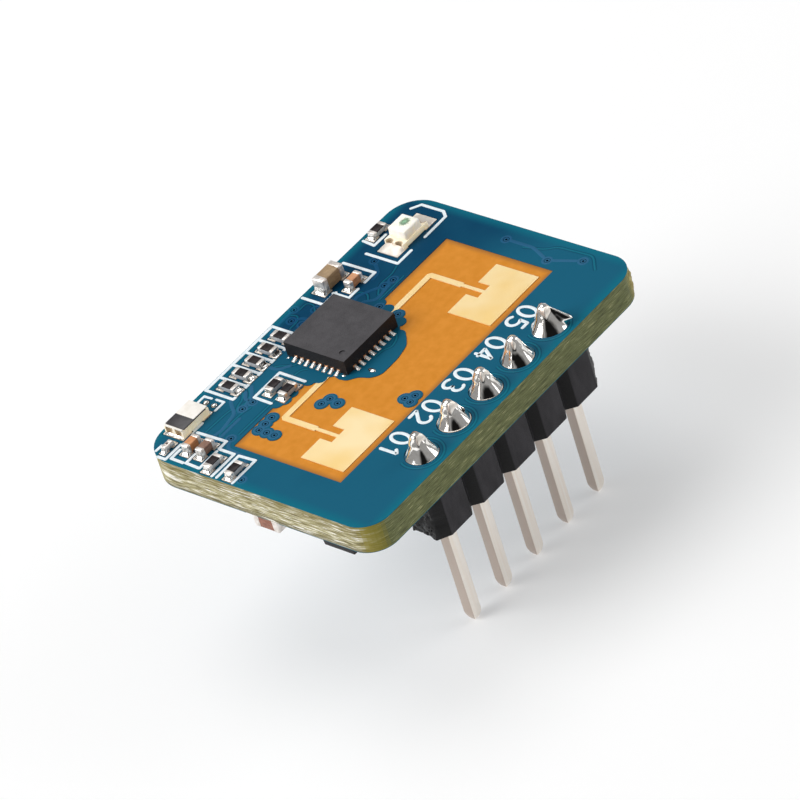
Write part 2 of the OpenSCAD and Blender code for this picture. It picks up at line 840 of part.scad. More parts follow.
module dome_profile(foot, draft) {
    polygon([[-foot, 0], [foot, 0], [foot - draft, led_dome_height], [draft - foot, led_dome_height]]);
}

module led_terminals() {
    color("#d5d2cc") at_led() {
        castle_lining(led_base_height);
        for (side = [0, 180])
            rotate(side) translate([lamp_length / 2, 0, 0])
                wedge(lamp_pad_out, lamp_width, led_base_height * 0.6);
    }
}

module at_sensor() {
    translate([sensor_place[0], sensor_place[1], pad_top]) children();
}

// The dark window fills a step across the sensor's white top
sensor_window_shift = -0.48;
module sensor_window_block() {
    translate([sensor_window_shift, 0, sensor_height - sensor_window_height])
        linear_extrude(sensor_window_height) square([sensor_window_length, lamp_width], center = true);
}

module light_sensor_base() {
    color("#f2e9d6") at_sensor() difference() {
        linear_extrude(sensor_height) castellated_outline();
        sensor_window_block();
    }
}

module light_sensor_window() {
    color("#4a484b") at_sensor() sensor_window_block();
}

module light_sensor_terminals() {
    color("#d5d2cc") at_sensor() {
        castle_lining(sensor_height * 0.7);
        for (side = [0, 180])
            rotate(side) translate([lamp_length / 2, 0, 0])
                wedge(sensor_pad_out, lamp_width, sensor_height * 0.35);
    }
}

laminate();
top_mask();
bottom_mask();
silkscreen();
antenna(-1);  // left_antenna
antenna(1);  // right_antenna
surface_pads();
header_pads();
via_barrels();
header_housing();
pin(1);  // pin_1
pin(2);  // pin_2
pin(3);  // pin_3
pin(4);  // pin_4
pin(5);  // pin_5
solder_joint(1);  // solder_joint_1
solder_joint(2);  // solder_joint_2
solder_joint(3);  // solder_joint_3
solder_joint(4);  // solder_joint_4
solder_joint(5);  // solder_joint_5
radar_chip();
chip_leads();
chip_solder();
led_base();
led_dome();
led_die();
led_terminals();
light_sensor_base();
light_sensor_window();
light_sensor_terminals();
resistor(1);  // resistor_1
resistor(2);  // resistor_2
resistor(3);  // resistor_3
resistor(4);  // resistor_4
resistor(5);  // resistor_5
resistor(6);  // resistor_6
resistor(7);  // resistor_7
resistor(8);  // resistor_8
resistor(9);  // resistor_9
resistor(10);  // resistor_10
capacitor(1);  // capacitor_1
capacitor(2);  // capacitor_2
capacitor(3);  // capacitor_3
capacitor(4);  // capacitor_4
bead();
bottom_capacitor();
regulator();
end_terminals();
solder_fillets();
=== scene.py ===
import math

import bmesh
import bpy
import numpy as np
from mathutils import Matrix, Vector


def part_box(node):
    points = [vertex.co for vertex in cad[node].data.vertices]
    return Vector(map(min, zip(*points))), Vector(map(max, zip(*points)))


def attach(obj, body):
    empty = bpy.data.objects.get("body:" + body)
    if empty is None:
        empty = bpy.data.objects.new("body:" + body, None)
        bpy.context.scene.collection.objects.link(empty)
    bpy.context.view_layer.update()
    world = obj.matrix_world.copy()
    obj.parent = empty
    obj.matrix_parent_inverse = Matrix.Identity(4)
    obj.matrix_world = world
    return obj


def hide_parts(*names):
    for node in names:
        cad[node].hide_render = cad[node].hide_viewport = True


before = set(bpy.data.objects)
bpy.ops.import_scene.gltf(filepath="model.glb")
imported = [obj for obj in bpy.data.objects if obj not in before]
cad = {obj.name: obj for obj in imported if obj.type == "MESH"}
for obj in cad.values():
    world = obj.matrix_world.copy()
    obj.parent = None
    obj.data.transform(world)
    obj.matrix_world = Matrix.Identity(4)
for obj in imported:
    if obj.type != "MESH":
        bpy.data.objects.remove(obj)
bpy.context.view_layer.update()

# The photographer's table: a long lens looks down on the board from the side of the pins, rolled a
# little about its own line of sight. The floor is plain and pale, and the lamps are large and soft.
# Every size in this script is in millimetres, and MM turns it into metres.
MM = 0.001
sight_point = Vector((-2.34, 3.63, 4.18))
sight_distance = 282.3
sight_azimuth = math.radians(39.67)
sight_elevation = math.radians(37.55)
sight_roll = math.radians(-18.02)
lens_length = 261.67
floor_drop = 0.02
floor_side = 6000.0


def tone(red, green, blue):
    """A colour given by its screen values from 0 to 255, as linear red, green, blue and alpha."""
    screen = np.array([red, green, blue]) / 255
    linear = np.where(screen <= 0.04045, screen / 12.92, ((screen + 0.055) / 1.055) ** 2.4)
    return (*linear.tolist(), 1.0)


def feed(tree, socket, value):
    """Links the socket to another socket, or sets it to a number, vector or colour."""
    if isinstance(value, bpy.types.NodeSocket):
        tree.links.new(value, socket)
    else:
        socket.default_value = value


def add(tree, kind, sockets=None, **settings):
    """A new node of that kind, with its settings and the sockets that are given by name or number."""
    node = tree.nodes.new(kind)
    for name, value in settings.items():
        setattr(node, name, value)
    for name, value in (sockets or {}).items():
        feed(tree, node.inputs[name], value)
    return node


def softbox(name, place, side, power):
    """A square lamp of that side which faces the middle of the board."""
    light = bpy.data.lights.new(name, "AREA")
    light.size = side * MM
    light.energy = power
    lamp = bpy.data.objects.new(name, light)
    bpy.context.scene.collection.objects.link(lamp)
    lamp.location = Vector(place) * MM
    lamp.rotation_euler = (sight_point - Vector(place)).to_track_quat("-Z", "Y").to_euler()


sight_turn = (
    Matrix.Rotation(-sight_azimuth, 4, "Z")
    @ Matrix.Rotation(math.pi / 2 - sight_elevation, 4, "X")
    @ Matrix.Rotation(sight_roll, 4, "Z")
)
lens = bpy.data.cameras.new("camera")
lens.lens = lens_length
lens.sensor_width = 36.0
lens.clip_start = 0.01
lens.clip_end = 20.0
camera = bpy.data.objects.new("camera", lens)
bpy.context.scene.collection.objects.link(camera)
camera_place = sight_point + sight_turn @ Vector((0, 0, sight_distance))
camera.matrix_world = Matrix.Translation(camera_place * MM) @ sight_turn
bpy.context.scene.camera = camera
bpy.context.scene.view_settings.view_transform = "Standard"

softbox("window lamp", (-420, 300, 380), 420, 3.4)
softbox("overhead lamp", (120, 260, 560), 380, 1.2)
softbox("front lamp", (360, -260, 200), 300, 0.5)

# The room is pale all round but dark behind the camera, so bright metal shows both. The floor is a
# plain pale sheet that glows a little, so the shadow on it stays soft.
world = bpy.data.worlds.new("room")
world.use_nodes = True
bpy.context.scene.world = world
room = world.node_tree
room_direction = add(room, "ShaderNodeTexCoord")
towards_camera = add(
    room,
    "ShaderNodeVectorMath",
    {0: room_direction.outputs["Generated"], 1: (camera_place - sight_point).normalized()},
    operation="DOT_PRODUCT",
)
room_shade = add(room, "ShaderNodeValToRGB", {"Fac": towards_camera.outputs["Value"]})
room_shade.color_ramp.elements[0].position = 0.78
room_shade.color_ramp.elements[0].color = (0.8, 0.8, 0.8, 1)
room_shade.color_ramp.elements[1].position = 0.92
room_shade.color_ramp.elements[1].color = (0.02, 0.02, 0.02, 1)
seen = add(room, "ShaderNodeLightPath").outputs["Is Camera Ray"]
room_colour = add(
    room,
    "ShaderNodeMix",
    {0: seen, 6: room_shade.outputs["Color"], 7: (2.4, 2.4, 2.4, 1)},
    data_type="RGBA",
)
feed(room, room.nodes["Background"].inputs["Color"], room_colour.outputs[2])
feed(room, room.nodes["Background"].inputs["Strength"], 0.4)

floor_mesh = bpy.data.meshes.new("floor")
floor_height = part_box("pin_1")[0].z / MM - floor_drop
floor_corners = np.array([(-1, -1), (1, -1), (1, 1), (-1, 1)]) * floor_side / 2
floor_mesh.from_pydata(
    (np.column_stack([floor_corners, np.full(4, floor_height)]) * MM).tolist(), [], [(0, 1, 2, 3)]
)
floor = bpy.data.objects.new("floor", floor_mesh)
bpy.context.scene.collection.objects.link(floor)
floor_finish = bpy.data.materials.new("pale floor")
floor_finish.use_nodes = True
floor_shader = floor_finish.node_tree.nodes["Principled BSDF"]
floor_shader.inputs["Base Color"].default_value = (0.62, 0.62, 0.62, 1)
floor_shader.inputs["Emission Color"].default_value = (1, 1, 1, 1)
floor_shader.inputs["Emission Strength"].default_value = 0.37
floor_shader.inputs["Roughness"].default_value = 0.9
floor_shader.inputs["Specular IOR Level"].default_value = 0.0
floor_mesh.materials.append(floor_finish)


# The board: glass cloth in amber epoxy, 1.6 mm thick, with its edges milled. The cut fibres show there as
# pale and dark streaks along the edge, and the bare face between the masks is amber. The long sides are
# painted in shade and the short ends painted lit, with painted white glints and painted shade along their
# foot.
def new_finish(name, **sockets):
    """A material with one Principled shader. A socket is named with underscores for its spaces."""
    material = bpy.data.materials.new(name)
    material.use_nodes = True
    shader = material.node_tree.nodes["Principled BSDF"]
    for socket, value in sockets.items():
        feed(material.node_tree, shader.inputs[socket.replace("_", " ")], value)
    return material, material.node_tree, shader


def make_mottle():
    """A node group: cloudy noise with a size of its own along X, Y and Z, in mm, from 0 to 1."""
    group = bpy.data.node_groups.new("mottle", "ShaderNodeTree")
    group.interface.new_socket("Size", in_out="INPUT", socket_type="NodeSocketVector")
    group.interface.new_socket("Detail", in_out="INPUT", socket_type="NodeSocketFloat")
    group.interface.new_socket("Value", in_out="OUTPUT", socket_type="NodeSocketFloat")
    inside = add(group, "NodeGroupInput")
    place = add(group, "ShaderNodeTexCoord")
    size = add(
        group, "ShaderNodeVectorMath", {0: inside.outputs["Size"], 1: (MM, MM, MM)}, operation="MULTIPLY"
    )
    scaled = add(
        group,
        "ShaderNodeVectorMath",
        {0: place.outputs["Object"], 1: size.outputs["Vector"]},
        operation="DIVIDE",
    )
    noise = add(
        group,
        "ShaderNodeTexNoise",
        {"Vector": scaled.outputs["Vector"], "Scale": 1.0, "Detail": inside.outputs["Detail"]},
    )
    spread = add(
        group,
        "ShaderNodeMapRange",
        {"Value": noise.outputs["Fac"], "From Min": 0.32, "From Max": 0.68},
    )
    outside = add(group, "NodeGroupOutput")
    feed(group, outside.inputs["Value"], spread.outputs["Result"])
    return group


mottle_group = make_mottle()


def mottle(tree, size, detail=2.0):
    """The value of the mottle group with noise of that size: one number, or one for each axis."""
    node = tree.nodes.new("ShaderNodeGroup")
    node.node_tree = mottle_group
    node.inputs["Size"].default_value = np.broadcast_to(size, 3).tolist()
    node.inputs["Detail"].default_value = detail
    return node.outputs["Value"]


def mix(tree, share, first, second):
    """The first colour, and the second one where share is 1."""
    node = add(tree, "ShaderNodeMix", {0: share, 6: first, 7: second}, data_type="RGBA")
    return node.outputs[2]


def stain(tree, shader, size, first, second, detail=3.0):
    """Colours the surface between two colours, in clouds of that size."""
    feed(tree, shader.inputs["Base Color"], mix(tree, mottle(tree, size, detail), first, second))


def shades(tree, value, *stops):
    """The colour for a value from 0 to 1, between stops that are each (value, colour)."""
    node = add(tree, "ShaderNodeValToRGB", {"Fac": value})
    ramp = node.color_ramp
    while len(ramp.elements) < len(stops):
        ramp.elements.new(0.5)
    for element, (position, colour) in zip(ramp.elements, stops):
        element.position = position
        element.color = colour
    return node.outputs["Color"]


def between(tree, value, low, high, at_low=0.0, at_high=1.0):
    """A smooth step of value: at_low up to low, at_high from high on."""
    sockets = {"Value": value, "From Min": low, "From Max": high, "To Min": at_low, "To Max": at_high}
    node = add(tree, "ShaderNodeMapRange", sockets, interpolation_type="SMOOTHSTEP")
    return node.outputs["Result"]


def maths(tree, operation, *values):
    """The result of one Math node."""
    node = add(tree, "ShaderNodeMath", dict(enumerate(values)), operation=operation)
    return node.outputs["Value"]


def relief(tree, shader, height, depth):
    """Makes the surface rise by up to depth millimetres where height is 1."""
    bump = add(tree, "ShaderNodeBump", {"Height": height, "Distance": depth * MM, "Strength": 1.0})
    feed(tree, shader.inputs["Normal"], bump.outputs["Normal"])


def facing(tree):
    """The size of the surface normal's X, Y and Z parts, each from 0 to 1."""
    normal = add(tree, "ShaderNodeNewGeometry").outputs["True Normal"]
    size = add(tree, "ShaderNodeVectorMath", {0: normal}, operation="ABSOLUTE")
    return add(tree, "ShaderNodeSeparateXYZ", {0: size.outputs["Vector"]}).outputs


def place_mm(tree):
    """The place on the object along X, Y and Z in millimetres."""
    place = add(tree, "ShaderNodeTexCoord").outputs["Object"]
    scaled = add(tree, "ShaderNodeVectorMath", {0: place, "Scale": 1 / MM}, operation="SCALE")
    return add(tree, "ShaderNodeSeparateXYZ", {0: scaled.outputs["Vector"]}).outputs


def dress(node, finish):
    """Gives a CAD node its finish."""
    cad[node].data.materials.clear()
    cad[node].data.materials.append(finish)


bare_low = (-8.41, 2.47)
bare_high = (8.59, 9.42)
laminate_finish, tree, shader = new_finish("laminate", Roughness=0.42, Specular_IOR_Level=0.12)
side_x, side_y, face = facing(tree)
x, y, z = place_mm(tree)
streaks = mottle(tree, (0.7, 0.7, 0.035), 4.0)
bundles = mottle(tree, (1.1, 1.1, 0.16), 3.0)
fibres = maths(tree, "MULTIPLY_ADD", streaks, 0.75, maths(tree, "MULTIPLY", bundles, 0.25))
# Painted shade on the long sides, which face along Y: the fibres in a darker ramp.
shaded_long_sides = shades(
    tree,
    fibres,
    (0.0, tone(62, 64, 40)),
    (0.45, tone(104, 110, 70)),
    (0.75, tone(128, 132, 88)),
    (1.0, tone(206, 204, 150)),
)
# Painted light on the short ends, which face along X: the fibres in a paler ramp.
lit_short_ends = shades(
    tree,
    fibres,
    (0.05, tone(64, 54, 38)),
    (0.25, tone(116, 107, 68)),
    (0.5, tone(166, 158, 114)),
    (0.75, tone(222, 216, 186)),
    (0.9, tone(252, 250, 244)),
)
near_top = maths(tree, "MULTIPLY", between(tree, z, 3.3, 4.15), 0.6)
lit_short_ends = mix(tree, near_top, lit_short_ends, tone(122, 110, 58))
# Painted shade along the foot of the short ends.
painted_foot_shade = maths(tree, "MULTIPLY", between(tree, z, 2.95, 2.6), 0.6)
lit_short_ends = mix(tree, painted_foot_shade, lit_short_ends, tone(86, 80, 64))
# Painted highlights: white glints on the short ends only.
glints = between(tree, mottle(tree, (1.6, 1.6, 0.11), 2.0), 0.8, 0.95)
lit_short_ends = mix(tree, maths(tree, "MULTIPLY", glints, 0.8), lit_short_ends, tone(255, 253, 246))
edge = mix(tree, between(tree, side_x, 0.5, 0.95), shaded_long_sides, lit_short_ends)
corner = between(tree, maths(tree, "MULTIPLY", side_x, side_y), 0.2, 0.5)
edge = mix(tree, maths(tree, "MULTIPLY", corner, 0.75), edge, tone(150, 138, 48))
insets = [
    maths(tree, "MINIMUM", maths(tree, "SUBTRACT", at, low), maths(tree, "SUBTRACT", high, at))
    for at, low, high in zip((x, y), bare_low, bare_high)
]
inset = maths(tree, "MINIMUM", *insets)
weave = mottle(tree, (0.5, 0.5, 0.3), 3.0)
amber = mix(tree, weave, tone(210, 133, 36), tone(219, 142, 48))
amber = mix(tree, between(tree, inset, 0.0, 0.4), tone(172, 112, 46), amber)
bare = mix(tree, between(tree, inset, -0.04, 0.0), tone(8, 44, 64), amber)
feed(tree, shader.inputs["Base Color"], mix(tree, face, edge, bare))
relief(tree, shader, maths(tree, "MULTIPLY", fibres, maths(tree, "SUBTRACT", 1.0, face)), 0.012)
dress("laminate", laminate_finish)


# The remains of the tab that held the board in its panel: torn glass and resin on the corner that
# is near the last pin, standing a few tenths out of the round corner.
def board_corners(name):
    """The lowest and highest corner of a CAD node, in millimetres."""
    low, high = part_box(name)
    return np.array(low) / MM, np.array(high) / MM


def ripple(points, wavelength, seed, waves=9):
    """A smooth wander from about -1 to 1: the scaled mean of several sine waves of about that
    length, each with a direction and a phase of its own."""
    draw = np.random.default_rng(seed)
    direction = draw.normal(size=(waves, points.shape[-1]))
    direction /= np.linalg.norm(direction, axis=1, keepdims=True)
    length = wavelength * draw.uniform(0.6, 1.6, waves)
    phase = draw.uniform(0, 2 * math.pi, waves)
    angle = 2 * math.pi * (points @ direction.T) / length + phase
    return np.clip(np.sin(angle).mean(-1) * 2.2, -1, 1)


def skin(rings):
    """A closed tube through rings of points: four-sided faces between each ring and the next, and
    one many-sided face over the first ring and over the last."""
    count, around = rings.shape[:2]
    index = np.arange(count * around).reshape(count, around)
    low, high = index[:-1], index[1:]
    walls = np.stack([low, np.roll(low, -1, 1), np.roll(high, -1, 1), high], -1)
    return rings.reshape(-1, 3), [walls.reshape(-1, 4), index[:1, ::-1], index[-1:]]


def show(name, parts, finish, replaced=(), crease=35):
    """One piece from several closed surfaces, each (points in mm, blocks of faces). Its faces are
    turned outwards, and edges sharper than crease degrees stay sharp."""
    points = np.concatenate([part[0] for part in parts])
    starts = np.cumsum([0] + [len(part[0]) for part in parts])
    faces = [
        corners
        for start, part in zip(starts, parts)
        for block in part[1]
        for corners in (block + start).tolist()
    ]
    mesh = bpy.data.meshes.new(name)
    mesh.from_pydata((points * MM).tolist(), [], faces)
    outward_mesh = bmesh.new()
    outward_mesh.from_mesh(mesh)
    bmesh.ops.recalc_face_normals(outward_mesh, faces=outward_mesh.faces)
    outward_mesh.to_mesh(mesh)
    outward_mesh.free()
    mesh.shade_smooth()
    mesh.set_sharp_from_angle(angle=math.radians(crease))
    mesh.materials.append(finish)
    piece = bpy.data.objects.new(name, mesh)
    bpy.context.scene.collection.objects.link(piece)
    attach(piece, "root")
    if replaced:
        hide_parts(*replaced)


board_low, board_high = board_corners("laminate")
near_radius = 1.5
tab_margin = 0.05
tab_height = board_high[2] - board_low[2] - 2 * tab_margin
tab_angles = (-62, 8)
tab_depth = 0.16


def torn_tab():
    """A strip round part of a corner: at the angle a and the turn t of its section, the surface
    stands out of the corner's radius by a rough thickness times sin t."""
    angle = np.radians(np.linspace(*tab_angles, 60))[:, None]
    turn = np.radians(np.linspace(0, 360, 28, endpoint=False))[None, :]
    height = board_low[2] + tab_margin + tab_height * (0.5 - 0.5 * np.cos(turn) * np.ones_like(angle))
    spot = np.stack([4 * angle * np.ones_like(turn), height, np.sin(turn) * np.ones_like(angle)], -1)
    end = np.clip(np.minimum(angle - angle[0], angle[-1] - angle) / 0.15, 0, 1) ** 0.5
    rough = 0.5 + 0.35 * ripple(spot, 0.9, 3) + 0.25 * ripple(spot, 0.35, 4)
    radius = near_radius - tab_margin + tab_depth * end * rough * np.sin(turn)
    x = board_high[0] - near_radius + radius * np.cos(angle)
    y = board_low[1] + near_radius + radius * np.sin(angle)
    return skin(np.stack([np.minimum(x, board_high[0]), np.maximum(y, board_low[1]), height], -1))


tab_finish, tree, shader = new_finish("torn tab", Roughness=0.6, Specular_IOR_Level=0.3)
tab_colour = mix(tree, mottle(tree, (0.3, 0.3, 0.15), 3.0), tone(120, 104, 40), tone(212, 200, 140))
feed(tree, shader.inputs["Base Color"], tab_colour)
relief(tree, shader, mottle(tree, 0.12, 3.0), 0.02)
show("torn_tab", [torn_tab()], tab_finish, crease=60)


# The solder mask: a thin semi-gloss teal film on both faces. It looks greyer and lighter over copper, and
# greener along the board's edges. It is paler towards the pins and the left end: a painted sheen.
def mask_finish(name, deep, pale, rim):
    """The mask's finish: pale near the pins and the left end, a painted sheen, and deep at the far right, in
    clouds, with a colour of its own along the board's rim."""
    material, tree, shader = new_finish(name, Roughness=0.34, Specular_IOR_Level=0.05)
    x, y, z = place_mm(tree)
    clouds = mottle(tree, (4.0, 3.0, 5.0), 2.0)
    # Painted sheen: the colour runs from deep at the far right to pale near the pins and the left end.
    lean = between(tree, maths(tree, "MULTIPLY_ADD", x, 0.5, y), 8.5, 13.5)
    colour = mix(tree, maths(tree, "MULTIPLY_ADD", clouds, -0.3, maths(tree, "ADD", lean, 0.12)), pale, deep)
    middle_y = (board_low[1] + board_high[1]) / 2
    half_x = board_high[0]
    half_y = (board_high[1] - board_low[1]) / 2
    near_x = between(tree, maths(tree, "ABSOLUTE", x), half_x - 0.7, half_x)
    from_middle = maths(tree, "ABSOLUTE", maths(tree, "SUBTRACT", y, middle_y))
    near_y = between(tree, from_middle, half_y - 0.7, half_y)
    rim_share = maths(tree, "MULTIPLY", maths(tree, "MAXIMUM", near_x, near_y), 0.75)
    feed(tree, shader.inputs["Base Color"], mix(tree, rim_share, colour, rim))
    relief(tree, shader, mottle(tree, 0.5, 2.0), 0.003)
    return material


top_mask_finish = mask_finish("solder mask", tone(0, 62, 94), tone(20, 93, 120), tone(6, 110, 130))
buried_finish = mask_finish("mask over copper", tone(14, 74, 112), tone(44, 100, 134), tone(18, 114, 140))
dress("top_mask", top_mask_finish)
dress("bottom_mask", top_mask_finish)

# Copper under the mask: tracks and the rings of the small plated holes show as low ridges with
# round shoulders, a little paler than the mask between them.
mask_top = board_corners("top_mask")[1][2]
ring_radius = 0.24
ring_width = 0.13
lip_radius = 0.11
lip_width = 0.09
ridge_height = 0.012
track_width = 0.2
TRACKS = [
    [(-5.78, 11.9), (-6.18, 11.45), (-6.48, 11.0), (-7.75, 10.78), (-8.3, 10.9)],
    [(-4.46, 11.6), (-5.18, 10.97), (-6.06, 10.85)],
    [(-4.94, 11.6), (-5.43, 11.2), (-5.43, 10.69)],
    [(-6.6, 10.5), (-9.0, 10.5)],
    [(-8.04, 9.93), (-8.7, 9.6), (-8.85, 8.2), (-10.25, 7.35)],
    [(-3.0, 11.7), (-3.0, 11.1), (-2.4, 10.6)],
    [(-2.0, 11.9), (-1.6, 11.7), (-1.31, 11.7)],
    [(0.28, 12.2), (-0.1, 11.95), (-0.1, 11.7)],
    [(0.28, 12.93), (0.7, 12.5), (0.7, 11.7)],
    [(1.48, 12.3), (1.1, 12.0), (1.1, 11.7)],
    [(1.02, 13.38), (-0.9, 13.38), (-1.3, 13.0)],
    [(2.4, 10.75), (3.2, 10.9), (4.35, 10.09)],
    [(2.4, 10.35), (2.9, 10.35), (3.3, 9.75), (4.9, 9.95)],
    [(5.7, 11.87), (5.0, 11.0), (4.4, 11.0)],
    [(9.69, 6.35), (9.69, 4.6), (9.13, 3.26)],
    [(9.13, 3.26), (9.79, 1.46)],
]


def eased(line, radius, steps=3):
    """An open line whose inner corners follow a curve: between the points at that distance before
    and after a corner, (1 - t)^2 first + 2t(1 - t) corner + t^2 last."""
    line = np.asarray(line, float)
    corner = line[1:-1]
    before = line[:-2] - corner
    after = line[2:] - corner
    reach_before = np.linalg.norm(before, axis=1, keepdims=True)
    reach_after = np.linalg.norm(after, axis=1, keepdims=True)
    reach = np.minimum(radius, 0.45 * np.minimum(reach_before, reach_after))
    first = corner + before / reach_before * reach
    last = corner + after / reach_after * reach
    t = np.linspace(0, 1, steps + 1)[None, :, None]
    curves = (1 - t) ** 2 * first[:, None] + 2 * t * (1 - t) * corner[:, None] + t**2 * last[:, None]
    return np.concatenate([line[:1], curves.reshape(-1, 2), line[-1:]])


def spaced(line, step):
    """Points at even distances of about step along a line, found from the lengths run so far."""
    line = np.asarray(line, float)
    run = np.concatenate([[0], np.cumsum(np.linalg.norm(np.diff(line, axis=0), axis=1))])
    even = np.linspace(0, run[-1], max(2, math.ceil(run[-1] / step) + 1))
    return np.stack([np.interp(even, run, line[:, 0]), np.interp(even, run, line[:, 1])], 1), even


def ribbon(line, width, base, height, step=0.06):
    """A flat strip with round ends along a line. At the distance s from the nearer end its half
    width is the root of r^2 - (r - s)^2, and its section climbs over round shoulders."""
    line, even = spaced(line, step)
    half = width / 2
    left = np.minimum(np.minimum(even, even[-1] - even), half)
    half_width = np.sqrt(np.maximum(half**2 - (half - left) ** 2, (0.08 * half) ** 2))
    along = np.gradient(line, axis=0)
    along /= np.linalg.norm(along, axis=1, keepdims=True)
    across = np.stack([along[:, 1], -along[:, 0]], 1)
    section_out = np.array([-1, -1, -0.92, -0.72, 0.72, 0.92, 1, 1])
    section_up = np.array([-0.4, 0.2, 0.75, 1, 1, 0.75, 0.2, -0.4])
    flat = line[:, None] + across[:, None] * (half_width[:, None] * section_out)[..., None]
    up = base + height * np.broadcast_to(section_up, flat.shape[:2])
    return skin(np.concatenate([flat, up[..., None]], 2))


def ring(place, radius, width, base, height, around=40):
    """A round ridge: at the angle a its section is half an ellipse, so z = height sin t."""
    angle = np.linspace(0, 2 * math.pi, around, endpoint=False)[:, None]
    turn = np.linspace(0, 2 * math.pi, 8, endpoint=False)[None, :]
    out = radius + width / 2 * np.cos(turn)
    up = base + height * np.sin(turn) * np.ones_like(angle)
    points = np.stack([place[0] + out * np.cos(angle), place[1] + out * np.sin(angle), up], -1)
    index = np.arange(around * 8).reshape(around, 8)
    following = np.roll(index, -1, 0)
    walls = np.stack([index, np.roll(index, -1, 1), np.roll(following, -1, 1), following], -1)
    return points.reshape(-1, 3), [walls.reshape(-1, 4)]


def separate_parts(name):
    """The lowest and highest corner, in millimetres, of each separate solid in a CAD node. Points
    of one triangle share the lowest of their labels until no label changes."""
    mesh = cad[name].data
    corners = np.zeros(len(mesh.vertices) * 3)
    mesh.vertices.foreach_get("co", corners)
    corners = corners.reshape(-1, 3) / MM
    mesh.calc_loop_triangles()
    triangles = np.zeros(len(mesh.loop_triangles) * 3, np.int64)
    mesh.loop_triangles.foreach_get("vertices", triangles)
    same = np.unique(np.round(corners, 4), axis=0, return_inverse=True)[1].reshape(-1)
    triangles = same[triangles].reshape(-1, 3)
    label = np.arange(same.max() + 1)
    before = None
    while before is None or (label != before).any():
        before = label.copy()
        np.minimum.at(label, triangles, label[triangles].min(1)[:, None])
        label = label[label]
    groups = [corners[label[same] == value] for value in np.unique(label)]
    return [(group.min(0), group.max(0)) for group in groups]


def arc(centre_x, centre_y, radius_x, radius_y, start, end):
    """Points on an ellipse from one angle to another, in degrees, about twelve degrees apart."""
    turn = np.radians(np.linspace(start, end, 2 + int(abs(end - start) / 12)))
    return np.stack([centre_x + radius_x * np.cos(turn), centre_y + radius_y * np.sin(turn)], 1)


def stop_short(line):
    """A track whose ends stop at the ring round a small plated hole."""
    line = np.array(line, float)
    for end, inner in ((0, 1), (-1, -2)):
        gaps = np.linalg.norm(hole_places - line[end], axis=1)
        if gaps.min() < ring_radius:
            centre = hole_places[gaps.argmin()]
            back = line[inner] - centre
            line[end] = centre + back / np.linalg.norm(back) * ring_radius
    return line


hole_places = np.array([(low + high)[:2] / 2 for low, high in separate_parts("via_barrels")])
ridges = [ribbon(eased(stop_short(line), 0.25), track_width, mask_top, ridge_height) for line in TRACKS]
ridges += [ring(place, ring_radius, ring_width, mask_top, ridge_height) for place in hole_places]
ridges += [ring(place, lip_radius, lip_width, mask_top - 0.006, 0.01) for place in hole_places]
show("buried_tracks", ridges, buried_finish, crease=50)

# Under the board, where the photo doesn't reach, tracks lead from the pins and the regulator to
# the same small plated holes.
under_face = board_corners("bottom_mask")[0][2]
UNDER_TRACKS = [
    [(2.54, 1.0), (4.2, 2.9), (7.6, 2.9), (9.13, 3.26)],
    [(5.08, 1.0), (6.0, 1.7), (9.0, 1.6), (9.79, 1.46)],
    [(0.0, 1.0), (0.6, 3.2), (4.35, 6.6), (4.35, 10.09)],
    [(-2.54, 1.0), (-2.54, 2.2), (-2.28, 3.01)],
    [(2.82, 7.96), (1.2, 8.8), (1.2, 11.6), (1.48, 12.3)],
    [(-5.08, 1.0), (-6.6, 1.9), (-8.4, 1.9)],
    [(-8.4, 2.6), (-7.6, 4.4), (-7.6, 9.0), (-8.04, 9.93)],
    [(-10.25, 7.35), (-10.25, 6.8)],
    [(-10.2, 5.5), (-9.3, 4.2), (-9.3, 2.7)],
    [(-5.43, 10.69), (-3.4, 12.0), (-0.8, 12.0), (0.28, 12.2)],
    [(9.69, 6.35), (8.6, 8.2), (5.7, 11.87)],
]
under_lines = [eased(stop_short(line), 0.4) for line in UNDER_TRACKS]
under = [ribbon(line, track_width, under_face, -ridge_height) for line in under_lines]
under += [ring(place, ring_radius, ring_width, under_face, ridge_height) for place in hole_places]
show("tracks_under_the_board", under, buried_finish, crease=50)

